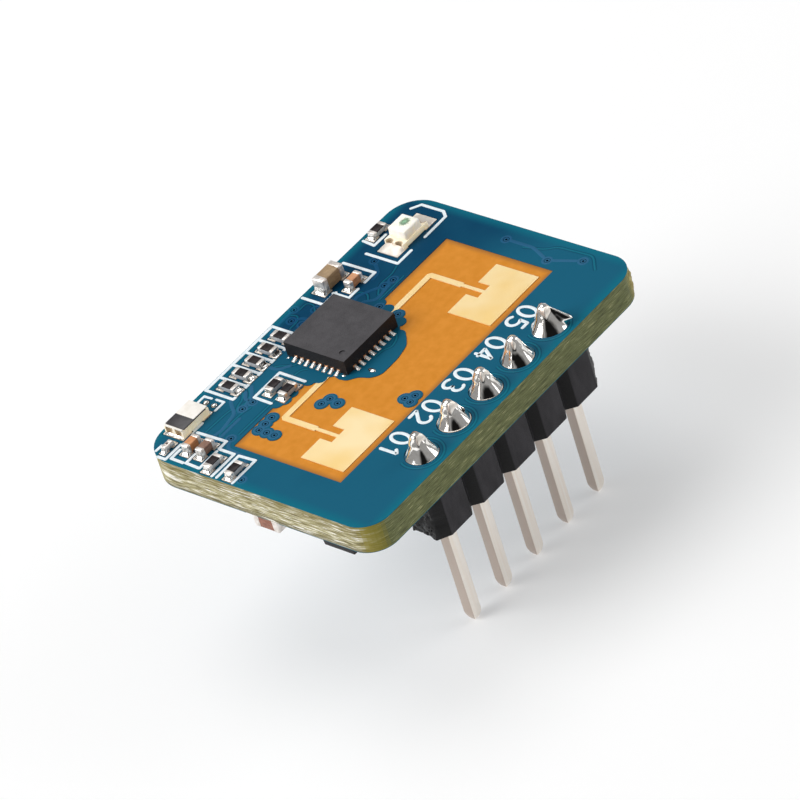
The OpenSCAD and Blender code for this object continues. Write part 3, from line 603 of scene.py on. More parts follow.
# Gaps between areas of copper: the mask sinks there into a thin teal line between two dark ones.
# They part the copper left of the window, wind round the chip and ring the header's pads.
pin_names = [f"pin_{i}" for i in range(1, 6)]
pin_places = [sum(board_corners(name))[:2] / 2 for name in pin_names]
gap_width = 0.1
edge_width = 0.22
relief_ring = 1.12
GAPS = [
    [(-5.75, 10.5), (-6.36, 10.68), (-8.1, 10.71), (-8.34, 10.3)],
    [(-6.1, 11.3), (-6.68, 11.44), (-8.25, 11.49)],
    [(-4.6, 9.72), (-5.66, 9.72), (-7.7, 9.74)],
    [(-4.68, 11.62), (-5.07, 11.15), (-5.61, 10.98), (-5.87, 11.1)],
    [(-5.05, 11.69), (-5.55, 11.3), (-5.98, 11.24), (-6.37, 11.0)],
    [(-3.07, 11.63), (-2.7, 11.2), (-2.45, 10.58), (-2.2, 10.4)],
    [(-3.0, 10.0), (-2.55, 9.96), (-2.3, 9.6)],
    [(1.04, 13.1), (1.7, 13.1), (1.75, 12.65), (1.1, 12.0), (0.5, 11.9)],
    [(-0.3, 12.6), (0.4, 12.6), (0.75, 12.9), (0.6, 13.3)],
    [(-1.0, 12.3), (-0.6, 12.0), (-0.2, 12.3)],
    [(2.75, 11.21), (3.45, 11.12), (3.53, 10.51), (3.03, 10.1)],
    [(3.6, 9.9), (4.3, 10.4), (5.2, 10.3), (5.9, 10.5)],
    [(3.3, 9.62), (4.5, 9.62), (5.4, 9.62)],
    [(-0.31, 6.97), (0.34, 6.9), (0.7, 6.6), (1.35, 6.8), (1.7, 7.2)],
    [(9.5, 5.2), (9.79, 3.92), (10.2, 3.4), (10.3, 1.2), (9.4, 0.4)],
]
joint_rings = [arc(*place, relief_ring, relief_ring, 150, 395) for place in pin_places]
gap_lines = [eased(stop_short(line), 0.3) for line in GAPS] + joint_rings
gap_finish = mask_finish("mask in a gap", tone(4, 88, 112), tone(22, 106, 128), tone(10, 116, 134))
edge_finish = mask_finish("mask beside a gap", tone(0, 48, 76), tone(10, 76, 102), tone(4, 92, 112))
gaps = [ribbon(line, gap_width, mask_top, 0.006) for line in gap_lines]
edges = [ribbon(line, edge_width, mask_top, 0.003) for line in gap_lines]
show("copper_gaps", gaps, gap_finish, crease=50)
show("copper_edges", edges, edge_finish, crease=50)

# Beside the chip the mask ends in a smooth border: a thin skin of it fills the bays between the
# round islands, short of the right antenna's feed line.
MASK_BORDER = [
    (-1.6, 8.0), (-2.3, 8.0), (-2.29, 7.17), (-1.81, 6.78), (-1.62, 6.12), (-1.18, 5.75), (0.14, 5.76),
    (1.11, 5.98), (1.77, 6.56), (1.85, 7.03), (2.52, 7.6), (2.5, 7.95), (1.7, 8.0),
]
border = eased(MASK_BORDER, 0.25)
levels = np.array([mask_top - 0.02, mask_top + 0.002])
border_rings = [np.column_stack([border, np.full(len(border), level)]) for level in levels]
show("mask_border", [skin(np.stack(border_rings))], top_mask_finish, crease=50)

# Painted shade: the plated walls of the small holes are painted near black.
hole_shade_finish, tree, shader = new_finish("plated hole", Roughness=0.9, Specular_IOR_Level=0.0)
stain(tree, shader, 0.2, tone(2, 10, 16), tone(4, 20, 30), 2.0)
dress("via_barrels", hole_shade_finish)

# White ink: frames round the parts, and a plain number beside each pin, printed by a screen, so
# the strokes have round ends and slightly soft edges.
ink_finish, tree, shader = new_finish("white ink", Roughness=0.5, Specular_IOR_Level=0.4)
ink_cover = mottle(tree, 0.25, 3.0)
ink_stops = ((0.0, tone(224, 236, 242)), (0.35, tone(232, 242, 247)), (1.0, tone(240, 246, 250)))
feed(tree, shader.inputs["Base Color"], shades(tree, ink_cover, *ink_stops))
relief(tree, shader, mottle(tree, 0.3, 2.0), 0.001)
dress("silkscreen", ink_finish)

figure_height = 1.12
figure_stroke = 0.19
figure_gap = 0.92
figure_centre_y = 1.72
figure_middle = 0.31

FIGURES = {
    "0": arc(0.31, 0.5, 0.29, 0.5, 90, 449),
    "1": [(0.12, 0.76), (0.38, 1), (0.38, 0)],
    "2": [*arc(0.3, 0.7, 0.27, 0.3, 165, -38), (0.03, 0), (0.6, 0)],
    "3": [*arc(0.28, 0.755, 0.26, 0.245, 155, -85), *arc(0.28, 0.26, 0.3, 0.26, 85, -155)],
    "4": [(0.62, 0.28), (0.02, 0.28), (0.44, 1), (0.44, 0)],
    "5": [(0.56, 1), (0.12, 1), (0.08, 0.55), *arc(0.28, 0.31, 0.3, 0.31, 105, -150)],
}


def printed_number(text, centre):
    """The strokes of a number read from the far side of the board, so it is turned half round."""
    places = (np.arange(len(text)) - (len(text) - 1) / 2) * figure_gap
    strokes = []
    for figure, place in zip(text, places):
        line = (np.asarray(FIGURES[figure]) - (figure_middle, 0.5)) * figure_height
        strokes.append(ribbon(centre - line - (place, 0), figure_stroke, mask_top, 0.02, 0.03))
    return strokes


numbers = []
for i, place in enumerate(pin_places):
    numbers += printed_number(f"0{i + 1}", np.array([place[0], figure_centre_y]))
show("terminal_numbers", numbers, ink_finish, crease=50)

# The antennas: copper patches with an immersion-gold finish, flat and silky, a little darker
# where the etched edge rolls off.
gold_finish, tree, shader = new_finish("immersion gold", Metallic=0.6, Roughness=0.45)
gold_cloud = mottle(tree, (2.5, 2.5, 1.0), 2.0)
feed(tree, shader.inputs["Base Color"], mix(tree, gold_cloud, tone(250, 216, 144), tone(255, 232, 182)))
relief(tree, shader, mottle(tree, 0.06, 3.0), 0.0015)
dress("left_antenna", gold_finish)
dress("right_antenna", gold_finish)

# Solder: bright tin that has flowed and set. The large joints are smooth as mirrors, the small
# ones a little crinkled, and the bare pads carry the same metal in a thin frosted coat.
def metal_finish(name, dark, pale, roughness, wave, depth, metallic=1.0):
    """Bare metal between two colours, with waves of that length and depth in its surface."""
    material, tree, shader = new_finish(name, Metallic=metallic, Roughness=roughness)
    stain(tree, shader, 0.3, dark, pale)
    relief(tree, shader, mottle(tree, wave, 2.0), depth)
    return material


flowed_finish = metal_finish(
    "flowed solder", tone(236, 232, 226), tone(252, 250, 247), 0.07, (0.5, 0.5, 1.4), 0.007
)
solder_finish = metal_finish("small solder", tone(226, 222, 216), tone(250, 248, 244), 0.14, 0.16, 0.01)
pad_finish = metal_finish("tinned pad", tone(226, 216, 204), tone(246, 238, 228), 0.42, 0.3, 0.006, 0.5)
lead_finish = metal_finish(
    "solder at a contact", tone(244, 241, 236), tone(255, 254, 251), 0.2, 0.1, 0.01, 0.8
)
dress("surface_pads", pad_finish)
dress("header_pads", pad_finish)

# The header's housing: a black glass-filled strip, snapped from a longer one. Each cell is eight-sided, its
# long faces are smooth, and both ends are torn and ragged. Faces that turn towards X, the chamfers among
# them, are painted near black as painted shade.
housing_low, housing_high = board_corners("header_housing")
pin_pitch = pin_places[1][0] - pin_places[0][0]
cell_chamfer = 0.47
cell_easing = 0.06
strip_half = pin_pitch * len(pin_places) / 2
strip_deep = housing_high[1]
tear_most = housing_high[0] - strip_half
tear_points = 22


def cell_edge():
    """One long side of the strip from left to right: a notch between two cells, then two corners."""
    starts = np.array([place[0] - pin_pitch / 2 for place in pin_places])
    x = starts[:, None] + np.array([0, cell_chamfer, pin_pitch - cell_chamfer])
    y = np.broadcast_to(np.array([cell_chamfer, 0, 0]) - strip_deep, x.shape)
    corners = np.stack([x, y], -1).reshape(-1, 2)
    return eased(np.concatenate([corners, [(strip_half, cell_chamfer - strip_deep)]]), cell_easing)


def housing_surface():
    """The strip's outline stands at each height z, drawn in at the rims by a quarter circle. The
    torn ends stand out by a rough depth that wanders with y and z."""
    side = cell_edge()
    reach = strip_deep - cell_chamfer
    end = np.stack([np.full(tear_points, strip_half), np.linspace(-reach, reach, tear_points)], 1)
    outline = np.concatenate([side[:-1], end, -side[1:-1], -end[:-1]])
    torn = np.abs(np.abs(outline[:, 0]) - strip_half) < 1e-6
    rim = cell_easing * (1 - np.cos(np.linspace(0, math.pi / 2, 4)))
    draw = cell_easing * (1 - np.sin(np.linspace(0, math.pi / 2, 4)))
    inner = np.linspace(housing_low[2] + cell_easing, housing_high[2] - cell_easing, 30)[1:-1]
    height = np.concatenate([housing_low[2] + rim, inner, housing_high[2] - rim[::-1]])
    inset = np.concatenate([draw, np.zeros(len(inner)), draw[::-1]])
    along = np.roll(outline, -1, 0) - np.roll(outline, 1, 0)
    along /= np.linalg.norm(along, axis=1, keepdims=True)
    out = np.stack([along[:, 1], -along[:, 0]], 1)
    flat = outline[None] - inset[:, None, None] * out[None]
    rings = np.concatenate([flat, np.broadcast_to(height[:, None, None], flat.shape[:2] + (1,))], 2)
    spot = rings * (0.3, 1, 1)
    rough = 0.45 + 0.4 * ripple(spot, 1.1, 11) + 0.3 * ripple(spot, 0.42, 12) + 0.2 * ripple(spot, 0.2, 13)
    step = tear_most * np.clip(rough, 0.02, 1) * torn[None]
    rings[..., 0] += step * np.sign(rings[..., 0])
    return skin(rings)


housing_finish, tree, shader = new_finish("header plastic", Roughness=0.5, Specular_IOR_Level=0.22)
x, y, z = place_mm(tree)
torn_share = between(tree, maths(tree, "ABSOLUTE", x), strip_half - 0.02, strip_half + 0.06)
grain = mottle(tree, 0.07, 3.0)
plastic = mix(tree, mottle(tree, (0.5, 0.5, 1.5), 3.0), tone(34, 32, 36), tone(50, 48, 52))
# Painted shade: faces that turn towards X are painted near black.
plastic = mix(tree, between(tree, facing(tree)[0], 0.3, 0.65), plastic, tone(9, 8, 10))
feed(tree, shader.inputs["Base Color"], mix(tree, torn_share, plastic, tone(16, 15, 17)))
feed(tree, shader.inputs["Roughness"], between(tree, torn_share, 0, 1, 0.52, 0.3))
relief(tree, shader, grain, 0.006)
show("housing", [housing_surface()], housing_finish, ["header_housing"], crease=40)

# The pins: square brass wire with a pale champagne plating, drawn, so fine lines run along it. The cut ends
# are coined to a blunt four-sided point. The faces that look along X are painted darker, a painted
# reflection of the shade under the board.
pin_edge = 0.06
pin_point = 0.6
pin_end = 0.15
pin_top_cover = 0.06


def rounded_rectangle(length, width, radius, steps=4):
    """An anticlockwise rectangle round the origin: four quarter circles joined by straight sides."""
    quarter = np.arange(4)[:, None] * math.pi / 2
    angle = quarter + np.linspace(0, math.pi / 2, steps + 1)[None, :]
    side_x = np.sign(np.cos(quarter + math.pi / 4)) * (length / 2 - radius)
    side_y = np.sign(np.sin(quarter + math.pi / 4)) * (width / 2 - radius)
    points = np.stack([side_x + radius * np.cos(angle), side_y + radius * np.sin(angle)], -1)
    return points.reshape(-1, 2)


def pin_surface(name):
    """A rounded square carried up the pin. Within the point's length of either end its half side
    grows from the blunt end as a quarter of a sine."""
    low, high = board_corners(name)
    half = (high[0] - low[0]) / 2
    top = high[2] - pin_top_cover
    bottom_rise = pin_point * (1 - np.cos(np.linspace(0, math.pi / 2, 9)))
    height = np.concatenate([low[2] + bottom_rise, top - bottom_rise[::-1] * 0.7])
    from_end = np.minimum((height - low[2]) / pin_point, (top - height) / (0.7 * pin_point))
    share = np.sin(np.clip(from_end, 0, 1) * math.pi / 2) ** 0.8
    side = (pin_end + (half - pin_end) * share) / half
    outline = rounded_rectangle(2 * half, 2 * half, pin_edge)
    middle = (low + high)[:2] / 2
    flat = middle + outline[None] * side[:, None, None]
    return skin(np.concatenate([flat, np.broadcast_to(height[:, None, None], flat.shape[:2] + (1,))], 2))


pin_finish, tree, shader = new_finish("pin plating", Metallic=0.55, Roughness=0.3)
drawn = mottle(tree, (0.14, 0.14, 5.0), 2.0)
plating = mix(tree, drawn, tone(250, 240, 228), tone(255, 249, 241))
# Painted reflection of the shade under the board: faces that look along X are darker.
plating = mix(tree, between(tree, facing(tree)[0], 0.4, 0.8), plating, tone(196, 180, 168))
feed(tree, shader.inputs["Base Color"], plating)
relief(tree, shader, drawn, 0.0008)
for name in pin_names:
    show(f"plated_{name}", [pin_surface(name)], pin_finish, [name], crease=40)

# The solder joints: soldered by hand, one by one. The tin climbs each pin in a hollow cone, hugs
# its square section near the top and hides its end. The last one took too much and has a tail.
joint_levels = 26
joint_around = 72
joint_tip = 0.2
pin_film = 0.035


def joint_surface(name, bulk, lean, tail, seed):
    """Round the pin, at the share t of the height and the angle a, the radius is the smooth
    maximum of a cone, tip + (base - tip)(1 - t)^1.35, and of the pin's square, half / cos a on
    each face. Flow lines and a tail are added, and the middle leans with t."""
    low, high = board_corners(name)
    middle = pin_places[int(name[-1]) - 1]
    pin_low, pin_high = board_corners(f"pin_{name[-1]}")
    half = (pin_high[0] - pin_low[0]) / 2 + pin_film
    base = (high[0] - low[0]) / 2 * bulk
    foot = mask_top - 0.01
    top = pin_high[2] - 0.005
    t = np.linspace(0, 1, joint_levels)[:, None]
    angle = np.linspace(0, 2 * math.pi, joint_around, endpoint=False)[None, :]
    cone = joint_tip + (base - joint_tip) * (1 - t) ** 1.35
    square = (np.abs(np.cos(angle)) ** 4 + np.abs(np.sin(angle)) ** 4) ** (-1 / 4)
    shrink = np.clip((1 - t) / 0.42, 0, 1)
    wrapped = square * (joint_tip * 0.8 + (half - joint_tip * 0.8) * shrink)
    radius = (cone**5 + wrapped**5) ** (1 / 5)
    whole = np.ones_like(t)
    spot = np.stack([np.cos(angle) * whole, np.sin(angle) * whole, 0.5 * t + 0 * angle], -1)
    radius = radius * (1 + 0.05 * ripple(spot, 1.1, seed) + 0.005 * ripple(spot, 0.5, seed + 50))
    tail_angle, tail_length = tail
    away = np.angle(np.exp(1j * (angle - math.radians(tail_angle))))
    drawn_out = np.clip((0.95 - t) / 0.6, 0, 1) ** 1.2 * np.clip(t / 0.28, 0, 1) ** 1.5
    radius = radius + tail_length * np.exp(-((away / 0.2) ** 2)) * drawn_out
    round_top = np.sqrt(np.clip(1 - np.clip((t - 0.93) / 0.07, 0, 1) ** 2, 0.02, 1))
    radius = radius * round_top
    lean_x, lean_y = lean
    x = middle[0] + lean_x * t**1.5 + radius * np.cos(angle)
    y = middle[1] + lean_y * t**1.5 + radius * np.sin(angle)
    z = foot + (top - foot) * t + 0 * angle
    cone_rings = np.stack([x, y, z], -1)
    plug = 0.49 * np.stack([np.cos(angle[0]), np.sin(angle[0])], 1) + middle
    plug_levels = (low[2] + 0.01, foot - 0.01)
    plug_rings = [np.column_stack([plug, np.full(joint_around, level)]) for level in plug_levels]
    return skin(np.concatenate([np.stack(plug_rings), cone_rings]))


JOINTS = [
    ("solder_joint_1", 1.0, (-0.04, 0.05), (0, 0.0)),
    ("solder_joint_2", 0.98, (-0.02, 0.08), (-20, 0.08)),
    ("solder_joint_3", 1.0, (0.0, 0.05), (0, 0.0)),
    ("solder_joint_4", 1.02, (0.03, 0.02), (200, 0.08)),
    ("solder_joint_5", 1.12, (0.05, 0.1), (-58, 0.6)),
]
for seed, (name, bulk, lean, tail) in enumerate(JOINTS):
    surface = joint_surface(name, bulk, lean, tail, 20 + seed)
    show(f"flowed_{name}", [surface], flowed_finish, [name], crease=70)

# The radar chip: a sawn leadless package of matte dark moulding compound, with a moulded dimple beside its
# first contact. Its copper contacts show along the sides, which are painted near black as painted shade.
chip_finish, tree, shader = new_finish("moulding compound", Roughness=0.62, Specular_IOR_Level=0.35)
speckle = mottle(tree, 0.05, 2.0)
compound = mix(tree, mottle(tree, 0.6, 4.0), tone(58, 56, 59), tone(72, 70, 73))
compound = mix(tree, maths(tree, "MULTIPLY", speckle, 0.25), compound, tone(92, 90, 92))
# Painted shade: the sides are painted near black, and only faces that look up or down keep the compound's
# grey.
compound = mix(tree, facing(tree)[2], tone(24, 22, 25), compound)
feed(tree, shader.inputs["Base Color"], compound)
relief(tree, shader, speckle, 0.006)
dress("radar_chip", chip_finish)

copper_finish, tree, shader = new_finish("sawn copper", Metallic=1.0, Roughness=0.4)
stain(tree, shader, 0.08, tone(196, 122, 70), tone(236, 168, 110), 2.0)
relief(tree, shader, mottle(tree, (0.02, 0.02, 0.3)), 0.003)
dress("chip_leads", copper_finish)


def solder_ramp(reach, width, height, fall=2.2, root=0.03):
    """Solder against a metal end at x = 0. Its top falls to the toe as height (1 - x / reach)^fall,
    and towards both sides the whole section shrinks as the root of 1 - (2y / width)^4."""
    y = np.linspace(-1, 1, 13)[:, None]
    x = np.linspace(0, 1, 8)[None, :]
    shrink = np.sqrt(np.clip(1 - y**4, 0.01, 1))
    top_x = reach * x * (0.55 + 0.45 * shrink)
    top_z = height * (0.05 + 0.95 * (1 - x) ** fall) * shrink
    low_x = np.repeat([[reach * 0.97, -root]], len(y), 0) * [1, 1]
    low_x[:, :1] *= 0.55 + 0.45 * shrink
    ring_x = np.concatenate([top_x, low_x, np.full_like(y, -root)], 1)
    ring_z = np.concatenate([top_z, np.zeros_like(low_x), height * shrink], 1)
    ring_y = np.broadcast_to(y * width / 2, ring_x.shape)
    return skin(np.stack([ring_x, ring_y, ring_z], -1))


def moved(surface, place, turn=0.0, hang=False):
    """A surface rolled over about X if it hangs, turned about Z by degrees, and moved to place."""
    points, faces = surface
    if hang:
        points = points * (1, -1, -1)
    cosine = math.cos(math.radians(turn))
    sine = math.sin(math.radians(turn))
    x, y, z = points.T
    turned = np.stack([cosine * x - sine * y, sine * x + cosine * y, z], 1)
    return turned + place, faces


chip_low, chip_high = board_corners("radar_chip")
chip_middle = (chip_low + chip_high) / 2
pad_top = chip_low[2]
chip_ramps = []
for low, high in separate_parts("chip_solder"):
    size = high - low
    outward = (low + high)[:2] / 2 - chip_middle[:2]
    turn = round(math.degrees(math.atan2(outward[1], outward[0])) / 90) * 90
    along = 0 if turn % 180 == 0 else 1
    reach, width = size[along], size[1 - along]
    start = (low + high) / 2
    start[along] -= math.copysign(size[along] / 2, outward[along])
    start[2] = pad_top
    chip_ramps.append(moved(solder_ramp(reach, width, size[2] * 0.7, 1.1), start, turn))
show("chip_joints", chip_ramps, lead_finish, ["chip_solder"], crease=50)


def dome(place, reach, height, seed):
    """A drop on the board: at the turn t its ring has the radius reach cos t, a little uneven
    round it, and stands at height sin t."""
    turn = np.linspace(0, math.pi / 2, 8)[:-1, None]
    angle = np.linspace(0, 2 * math.pi, 28, endpoint=False)[None, :]
    uneven = 1 + 0.1 * ripple(np.stack([np.cos(angle[0]), np.sin(angle[0])], 1), 1.6, seed)
    across = np.cos(turn) * uneven
    low, high = np.array(place) - (0, 0, 0.02), np.array(place)
    x = across * np.cos(angle) * reach[0]
    y = across * np.sin(angle) * reach[1]
    rings = np.stack([x, y, height * np.sin(turn) + 0 * angle], -1)
    return skin(np.concatenate([rings[:1] + low, rings + high]))


# Drops of solder: on the two round pads that carry no part, and small stray ones near the chip.
# Each entry is the place, the reach along X and Y, and the height.
DROPS = [
    ((-6.42, 12.43), (0.15, 0.15), 0.09),
    ((-6.42, 12.97), (0.15, 0.15), 0.1),
    ((-2.0, 7.54), (0.1, 0.12), 0.05),
    ((-1.14, 6.42), (0.13, 0.24), 0.08),
    ((-2.01, 11.18), (0.08, 0.08), 0.04),
]
drops = [dome((*spot, mask_top), reach, height, 60 + i) for i, (spot, reach, height) in enumerate(DROPS)]
show("solder_drops", drops, solder_finish, crease=60)


# The small resistors: white alumina with a black glaze on top and plated metal over both ends.
# Solder climbs each end from its pad.
def plate(outline, low, high, rounding=0.02, draft=0.0, steps=3):
    """A solid on an outline. Its rims follow a quarter circle: at the turn t they are drawn in by
    r(1 - sin t), r(1 - cos t) inside the face, and its sides lean in by draft up to the top."""
    turn = np.linspace(0, math.pi / 2, steps + 1)
    draw = rounding * (1 - np.sin(turn))
    rise = rounding * (1 - np.cos(turn))
    height = np.concatenate([low + rise, high - rise[::-1]])
    inset = np.concatenate([draw, draw[::-1]]) + draft * (height - low) / (high - low)
    along = np.roll(outline, -1, 0) - np.roll(outline, 1, 0)
    along /= np.linalg.norm(along, axis=1, keepdims=True)
    out = np.stack([along[:, 1], -along[:, 0]], 1)
    flat = outline[None] - inset[:, None, None] * out[None]
    return skin(np.concatenate([flat, np.broadcast_to(height[:, None, None], flat.shape[:2] + (1,))], 2))


def dipped_end(size, share, seed, radius):
    """Metal over the end of a part at x > 0: a rounded rectangle in Y and Z is carried along X.
    Its lip wanders a little, and its outer end is drawn in by a quarter circle."""
    length, width, height = size
    outline = rounded_rectangle(width, height, radius)
    turn = np.linspace(0, math.pi / 2, 5)
    inner = length / 2 * (1 - 2 * share)
    x = np.concatenate([[inner, inner + 0.012, inner + 0.04], length / 2 - radius * (1 - np.sin(turn))])
    inset = np.concatenate([[0.02, 0.004, 0.0], radius * (1 - np.cos(turn))])
    unit = outline / np.linalg.norm(outline, axis=1, keepdims=True)
    section = outline[None] - inset[:, None, None] * unit[None]
    rings = np.concatenate([np.broadcast_to(x[:, None, None], section.shape[:2] + (1,)), section], 2)
    lip = 0.03 * ripple(outline / width * 2, 1.3, seed)
    rings[:3, :, 0] += lip
    rings[..., 2] += height / 2
    return skin(rings)


def part_frame(node):
    """Middle of the foot and turn of a two-ended part, whose longer side shows how it lies."""
    low, high = board_corners(node)
    middle = (low + high) / 2
    turn = 0.0 if high[0] - low[0] > high[1] - low[1] else 90.0
    return np.array([middle[0], middle[1], pad_top]), turn


def part_ends(size, share, place, turn, seed, radius=0.05, hang=False):
    """Both metal ends of a part."""
    cap = dipped_end(size, share, seed, radius)
    return [moved(cap, place, turn + half, hang) for half in (0, 180)]


def part_ramps(size, reach, place, turn, seed, climb=0.8, hang=False):
    """The solder at both ends of a part, a little uneven in height and reach."""
    draw = np.random.default_rng(seed)
    ramps = []
    for half in (0, 180):
        height = size[2] * climb * draw.uniform(0.85, 1.1)
        ramp = solder_ramp(reach * draw.uniform(0.85, 1.05), size[1] * 1.02, height)
        local = moved(ramp, (size[0] / 2, 0, 0))
        ramps.append(moved(local, place, turn + half, hang))
    return ramps


tin_finish, tree, shader = new_finish("plated ends", Metallic=0.75, Roughness=0.34)
stain(tree, shader, 0.3, tone(214, 204, 196), tone(248, 243, 238))
relief(tree, shader, mottle(tree, 0.2, 2.0), 0.006)

alumina_finish, tree, shader = new_finish("white alumina", Roughness=0.5, Specular_IOR_Level=0.45)
stain(tree, shader, 0.15, tone(168, 170, 174), tone(196, 197, 200))
relief(tree, shader, mottle(tree, (0.05, 0.05, 0.4), 2.0), 0.003)

glaze_finish, tree, shader = new_finish("black glaze", Roughness=0.3, Specular_IOR_Level=0.2)
stain(tree, shader, 0.2, tone(22, 17, 19), tone(46, 36, 38))
relief(tree, shader, mottle(tree, 0.25, 2.0), 0.006)

end_share = 0.22
end_reach = 0.22
metal_ends = []
end_solder = []
resistor_names = [f"resistor_{i}" for i in range(1, 11)]
resistor_size = np.array([1.0, 0.5, 0.32])
for seed, name in enumerate(resistor_names):
    place, turn = part_frame(name)
    core = rounded_rectangle(resistor_size[0] - 0.05, resistor_size[1] - 0.02, 0.02)
    body = plate(core, 0.01, resistor_size[2] - 0.02, 0.015)
    show(f"body_of_{name}", [moved(body, place, turn)], alumina_finish, [name])
    glaze_length = resistor_size[0] * (1 - 2 * end_share) + 0.02
    glaze_outline = rounded_rectangle(glaze_length, resistor_size[1] - 0.008, 0.03)
    glaze = plate(glaze_outline, resistor_size[2] - 0.06, resistor_size[2] + 0.002, 0.02)
    show(f"glaze_of_{name}", [moved(glaze, place, turn)], glaze_finish)
    metal_ends += part_ends(resistor_size, end_share, place, turn, 100 + seed, 0.04)
    end_solder += part_ramps(resistor_size, end_reach, place, turn, 200 + seed)


# The capacitors: fired brown ceramic with rounded edges, each batch a little different in colour,
# and thick dipped metal ends that stand proud of the body.
def ceramic_finish(name, dark, pale):
    """Fired ceramic between two browns, with the fine layers that its plates leave along it."""
    material, tree, shader = new_finish(name, Roughness=0.42, Specular_IOR_Level=0.45)
    stain(tree, shader, (0.3, 0.3, 0.08), dark, pale)
    relief(tree, shader, mottle(tree, 0.1, 3.0), 0.006)
    return material


def capacitor_core(size):
    """The brown body, a little smaller than the ends all round, with rounded edges."""
    outline = rounded_rectangle(size[0] - 0.1, size[1] - 0.04, 0.05)
    return plate(outline, 0.02, size[2] - 0.02, 0.05)


small_size = np.array([1.0, 0.5, 0.5])
large_size = np.array([1.6, 0.8, 0.8])
CAPACITORS = [
    ("capacitor_1", small_size, tone(196, 128, 80), tone(222, 156, 104)),
    ("capacitor_2", small_size, tone(122, 90, 74), tone(150, 114, 94)),
    ("capacitor_3", large_size, tone(150, 124, 92), tone(176, 148, 112)),
    ("capacitor_4", small_size, tone(196, 134, 92), tone(220, 160, 116)),
]
for seed, (name, size, dark, pale) in enumerate(CAPACITORS):
    place, turn = part_frame(name)
    body = capacitor_core(size)
    brown = ceramic_finish(f"ceramic of {name}", dark, pale)
    show(f"body_of_{name}", [moved(body, place, turn)], brown, [name])
    metal_ends += part_ends(size, end_share, place, turn, 120 + seed, 0.08)
    end_solder += part_ramps(size, end_reach, place, turn, 220 + seed, 0.4)

# The tiny bead in the corner: a grey block between two metal ends, with a small dark mark fired
# on its top.
bead_size = np.array([0.62, 0.32, 0.32])
place, turn = part_frame("bead")
bead_outline = rounded_rectangle(bead_size[0] - 0.06, bead_size[1] - 0.02, 0.03)
bead_core = plate(bead_outline, 0.01, bead_size[2] - 0.01, 0.03)
show("body_of_bead", [moved(bead_core, place, turn)], tin_finish, ["bead"])
mark_finish, tree, shader = new_finish("fired mark", Roughness=0.4)
stain(tree, shader, 0.1, tone(70, 40, 34), tone(104, 66, 56), 2.0)
bead_mark = plate(rounded_rectangle(0.12, 0.12, 0.03), bead_size[2] - 0.03, bead_size[2] + 0.003, 0.01)
show("bead_mark", [moved(bead_mark, place, turn)], mark_finish)
metal_ends += part_ends(bead_size, 0.28, place, turn, 130, 0.05)
end_solder += part_ramps(bead_size, end_reach, place, turn, 230)

# The capacitor under the board is of the large size. It hangs from its pads with its long side
# along the short edge.
low, high = board_corners("bottom_capacitor")
hung_top = board_corners("surface_pads")[0][2]
hung_place = np.array([*((low + high) / 2)[:2], hung_top])
copper_brown = ceramic_finish("ceramic of bottom capacitor", tone(128, 78, 58), tone(160, 106, 84))
show(
    "body_of_bottom_capacitor",
    [moved(capacitor_core(large_size), hung_place, 90, hang=True)],
    copper_brown,
    ["bottom_capacitor"],
)
metal_ends += part_ends(large_size, end_share, hung_place, 90, 140, 0.08, hang=True)
end_solder += part_ramps(large_size, end_reach, hung_place, 90, 240, 0.4, hang=True)
show("metal_ends", metal_ends, tin_finish, ["end_terminals"], crease=50)
show("end_solder", end_solder, solder_finish, ["solder_fillets"], crease=50)

# The voltage regulator under the board: a moulded black body whose sides narrow towards the face that looks
# down. It has the chip's finish, so its sides are painted near black as painted shade.
low, high = board_corners("regulator")
regulator_middle = np.array([*((low + high) / 2)[:2], high[2]])
regulator_outline = rounded_rectangle(high[0] - low[0], high[1] - low[1], 0.12)
regulator_body = plate(regulator_outline, 0.0, high[2] - low[2], 0.03, draft=0.08)
show(
    "regulator_body",
    [moved(regulator_body, regulator_middle, hang=True)],
    chip_finish,
    ["regulator"],
)


# The indicator light: a cream laminate base with plated half-round notches in its ends, and a milky clear
# block moulded over a green die. The base, the block and the die each glow a little, a painted glow, though
# the light is off.
def castellated_outline(length, width, radius):
    """A rectangle with two half-round notches cut into each short end, anticlockwise."""
    return np.concatenate(
        [
            [(-length / 2, -width / 2), (length / 2, -width / 2)],
            arc(length / 2, -width / 4, radius, radius, 270, 90),
            arc(length / 2, width / 4, radius, radius, 270, 90),
            [(length / 2, width / 2), (-length / 2, width / 2)],
            arc(-length / 2, width / 4, radius, radius, 90, -90),
            arc(-length / 2, -width / 4, radius, radius, 90, -90),
        ]
    )


def notch_linings(length, width, radius, wall, height):
    """The plating in the four notches: the strip between two half circles, stood up."""
    linings = []
    for side in (-1, 1):
        for row in (-1, 1):
            outer = arc(0, 0, radius + 0.004, radius + 0.004, 90, 270)
            inner = arc(0, 0, radius - wall, radius - wall, 270, 90)
            strip = plate(np.concatenate([outer, inner]), 0.0, height, 0.0)
            turn = 0 if side > 0 else 180
            linings.append(moved(strip, (side * length / 2, row * width / 4, 0), turn))
    return linings


lamp_length = 2.0
lamp_width = 1.25
notch_radius = 0.24
lining_wall = 0.04

# Painted glow: the cream resin gives off a little light of its own, as if light came through it.
cream_finish, tree, shader = new_finish(
    "cream resin", Roughness=0.45, Subsurface_Weight=0.5, Subsurface_Scale=MM, Emission_Strength=0.3
)
shader.inputs["Emission Color"].default_value = tone(250, 230, 184)
shader.inputs["Subsurface Radius"].default_value = (0.8, 0.6, 0.4)
stain(tree, shader, 0.4, tone(240, 228, 196), tone(252, 246, 230))
relief(tree, shader, mottle(tree, (0.3, 0.3, 0.05), 3.0), 0.006)

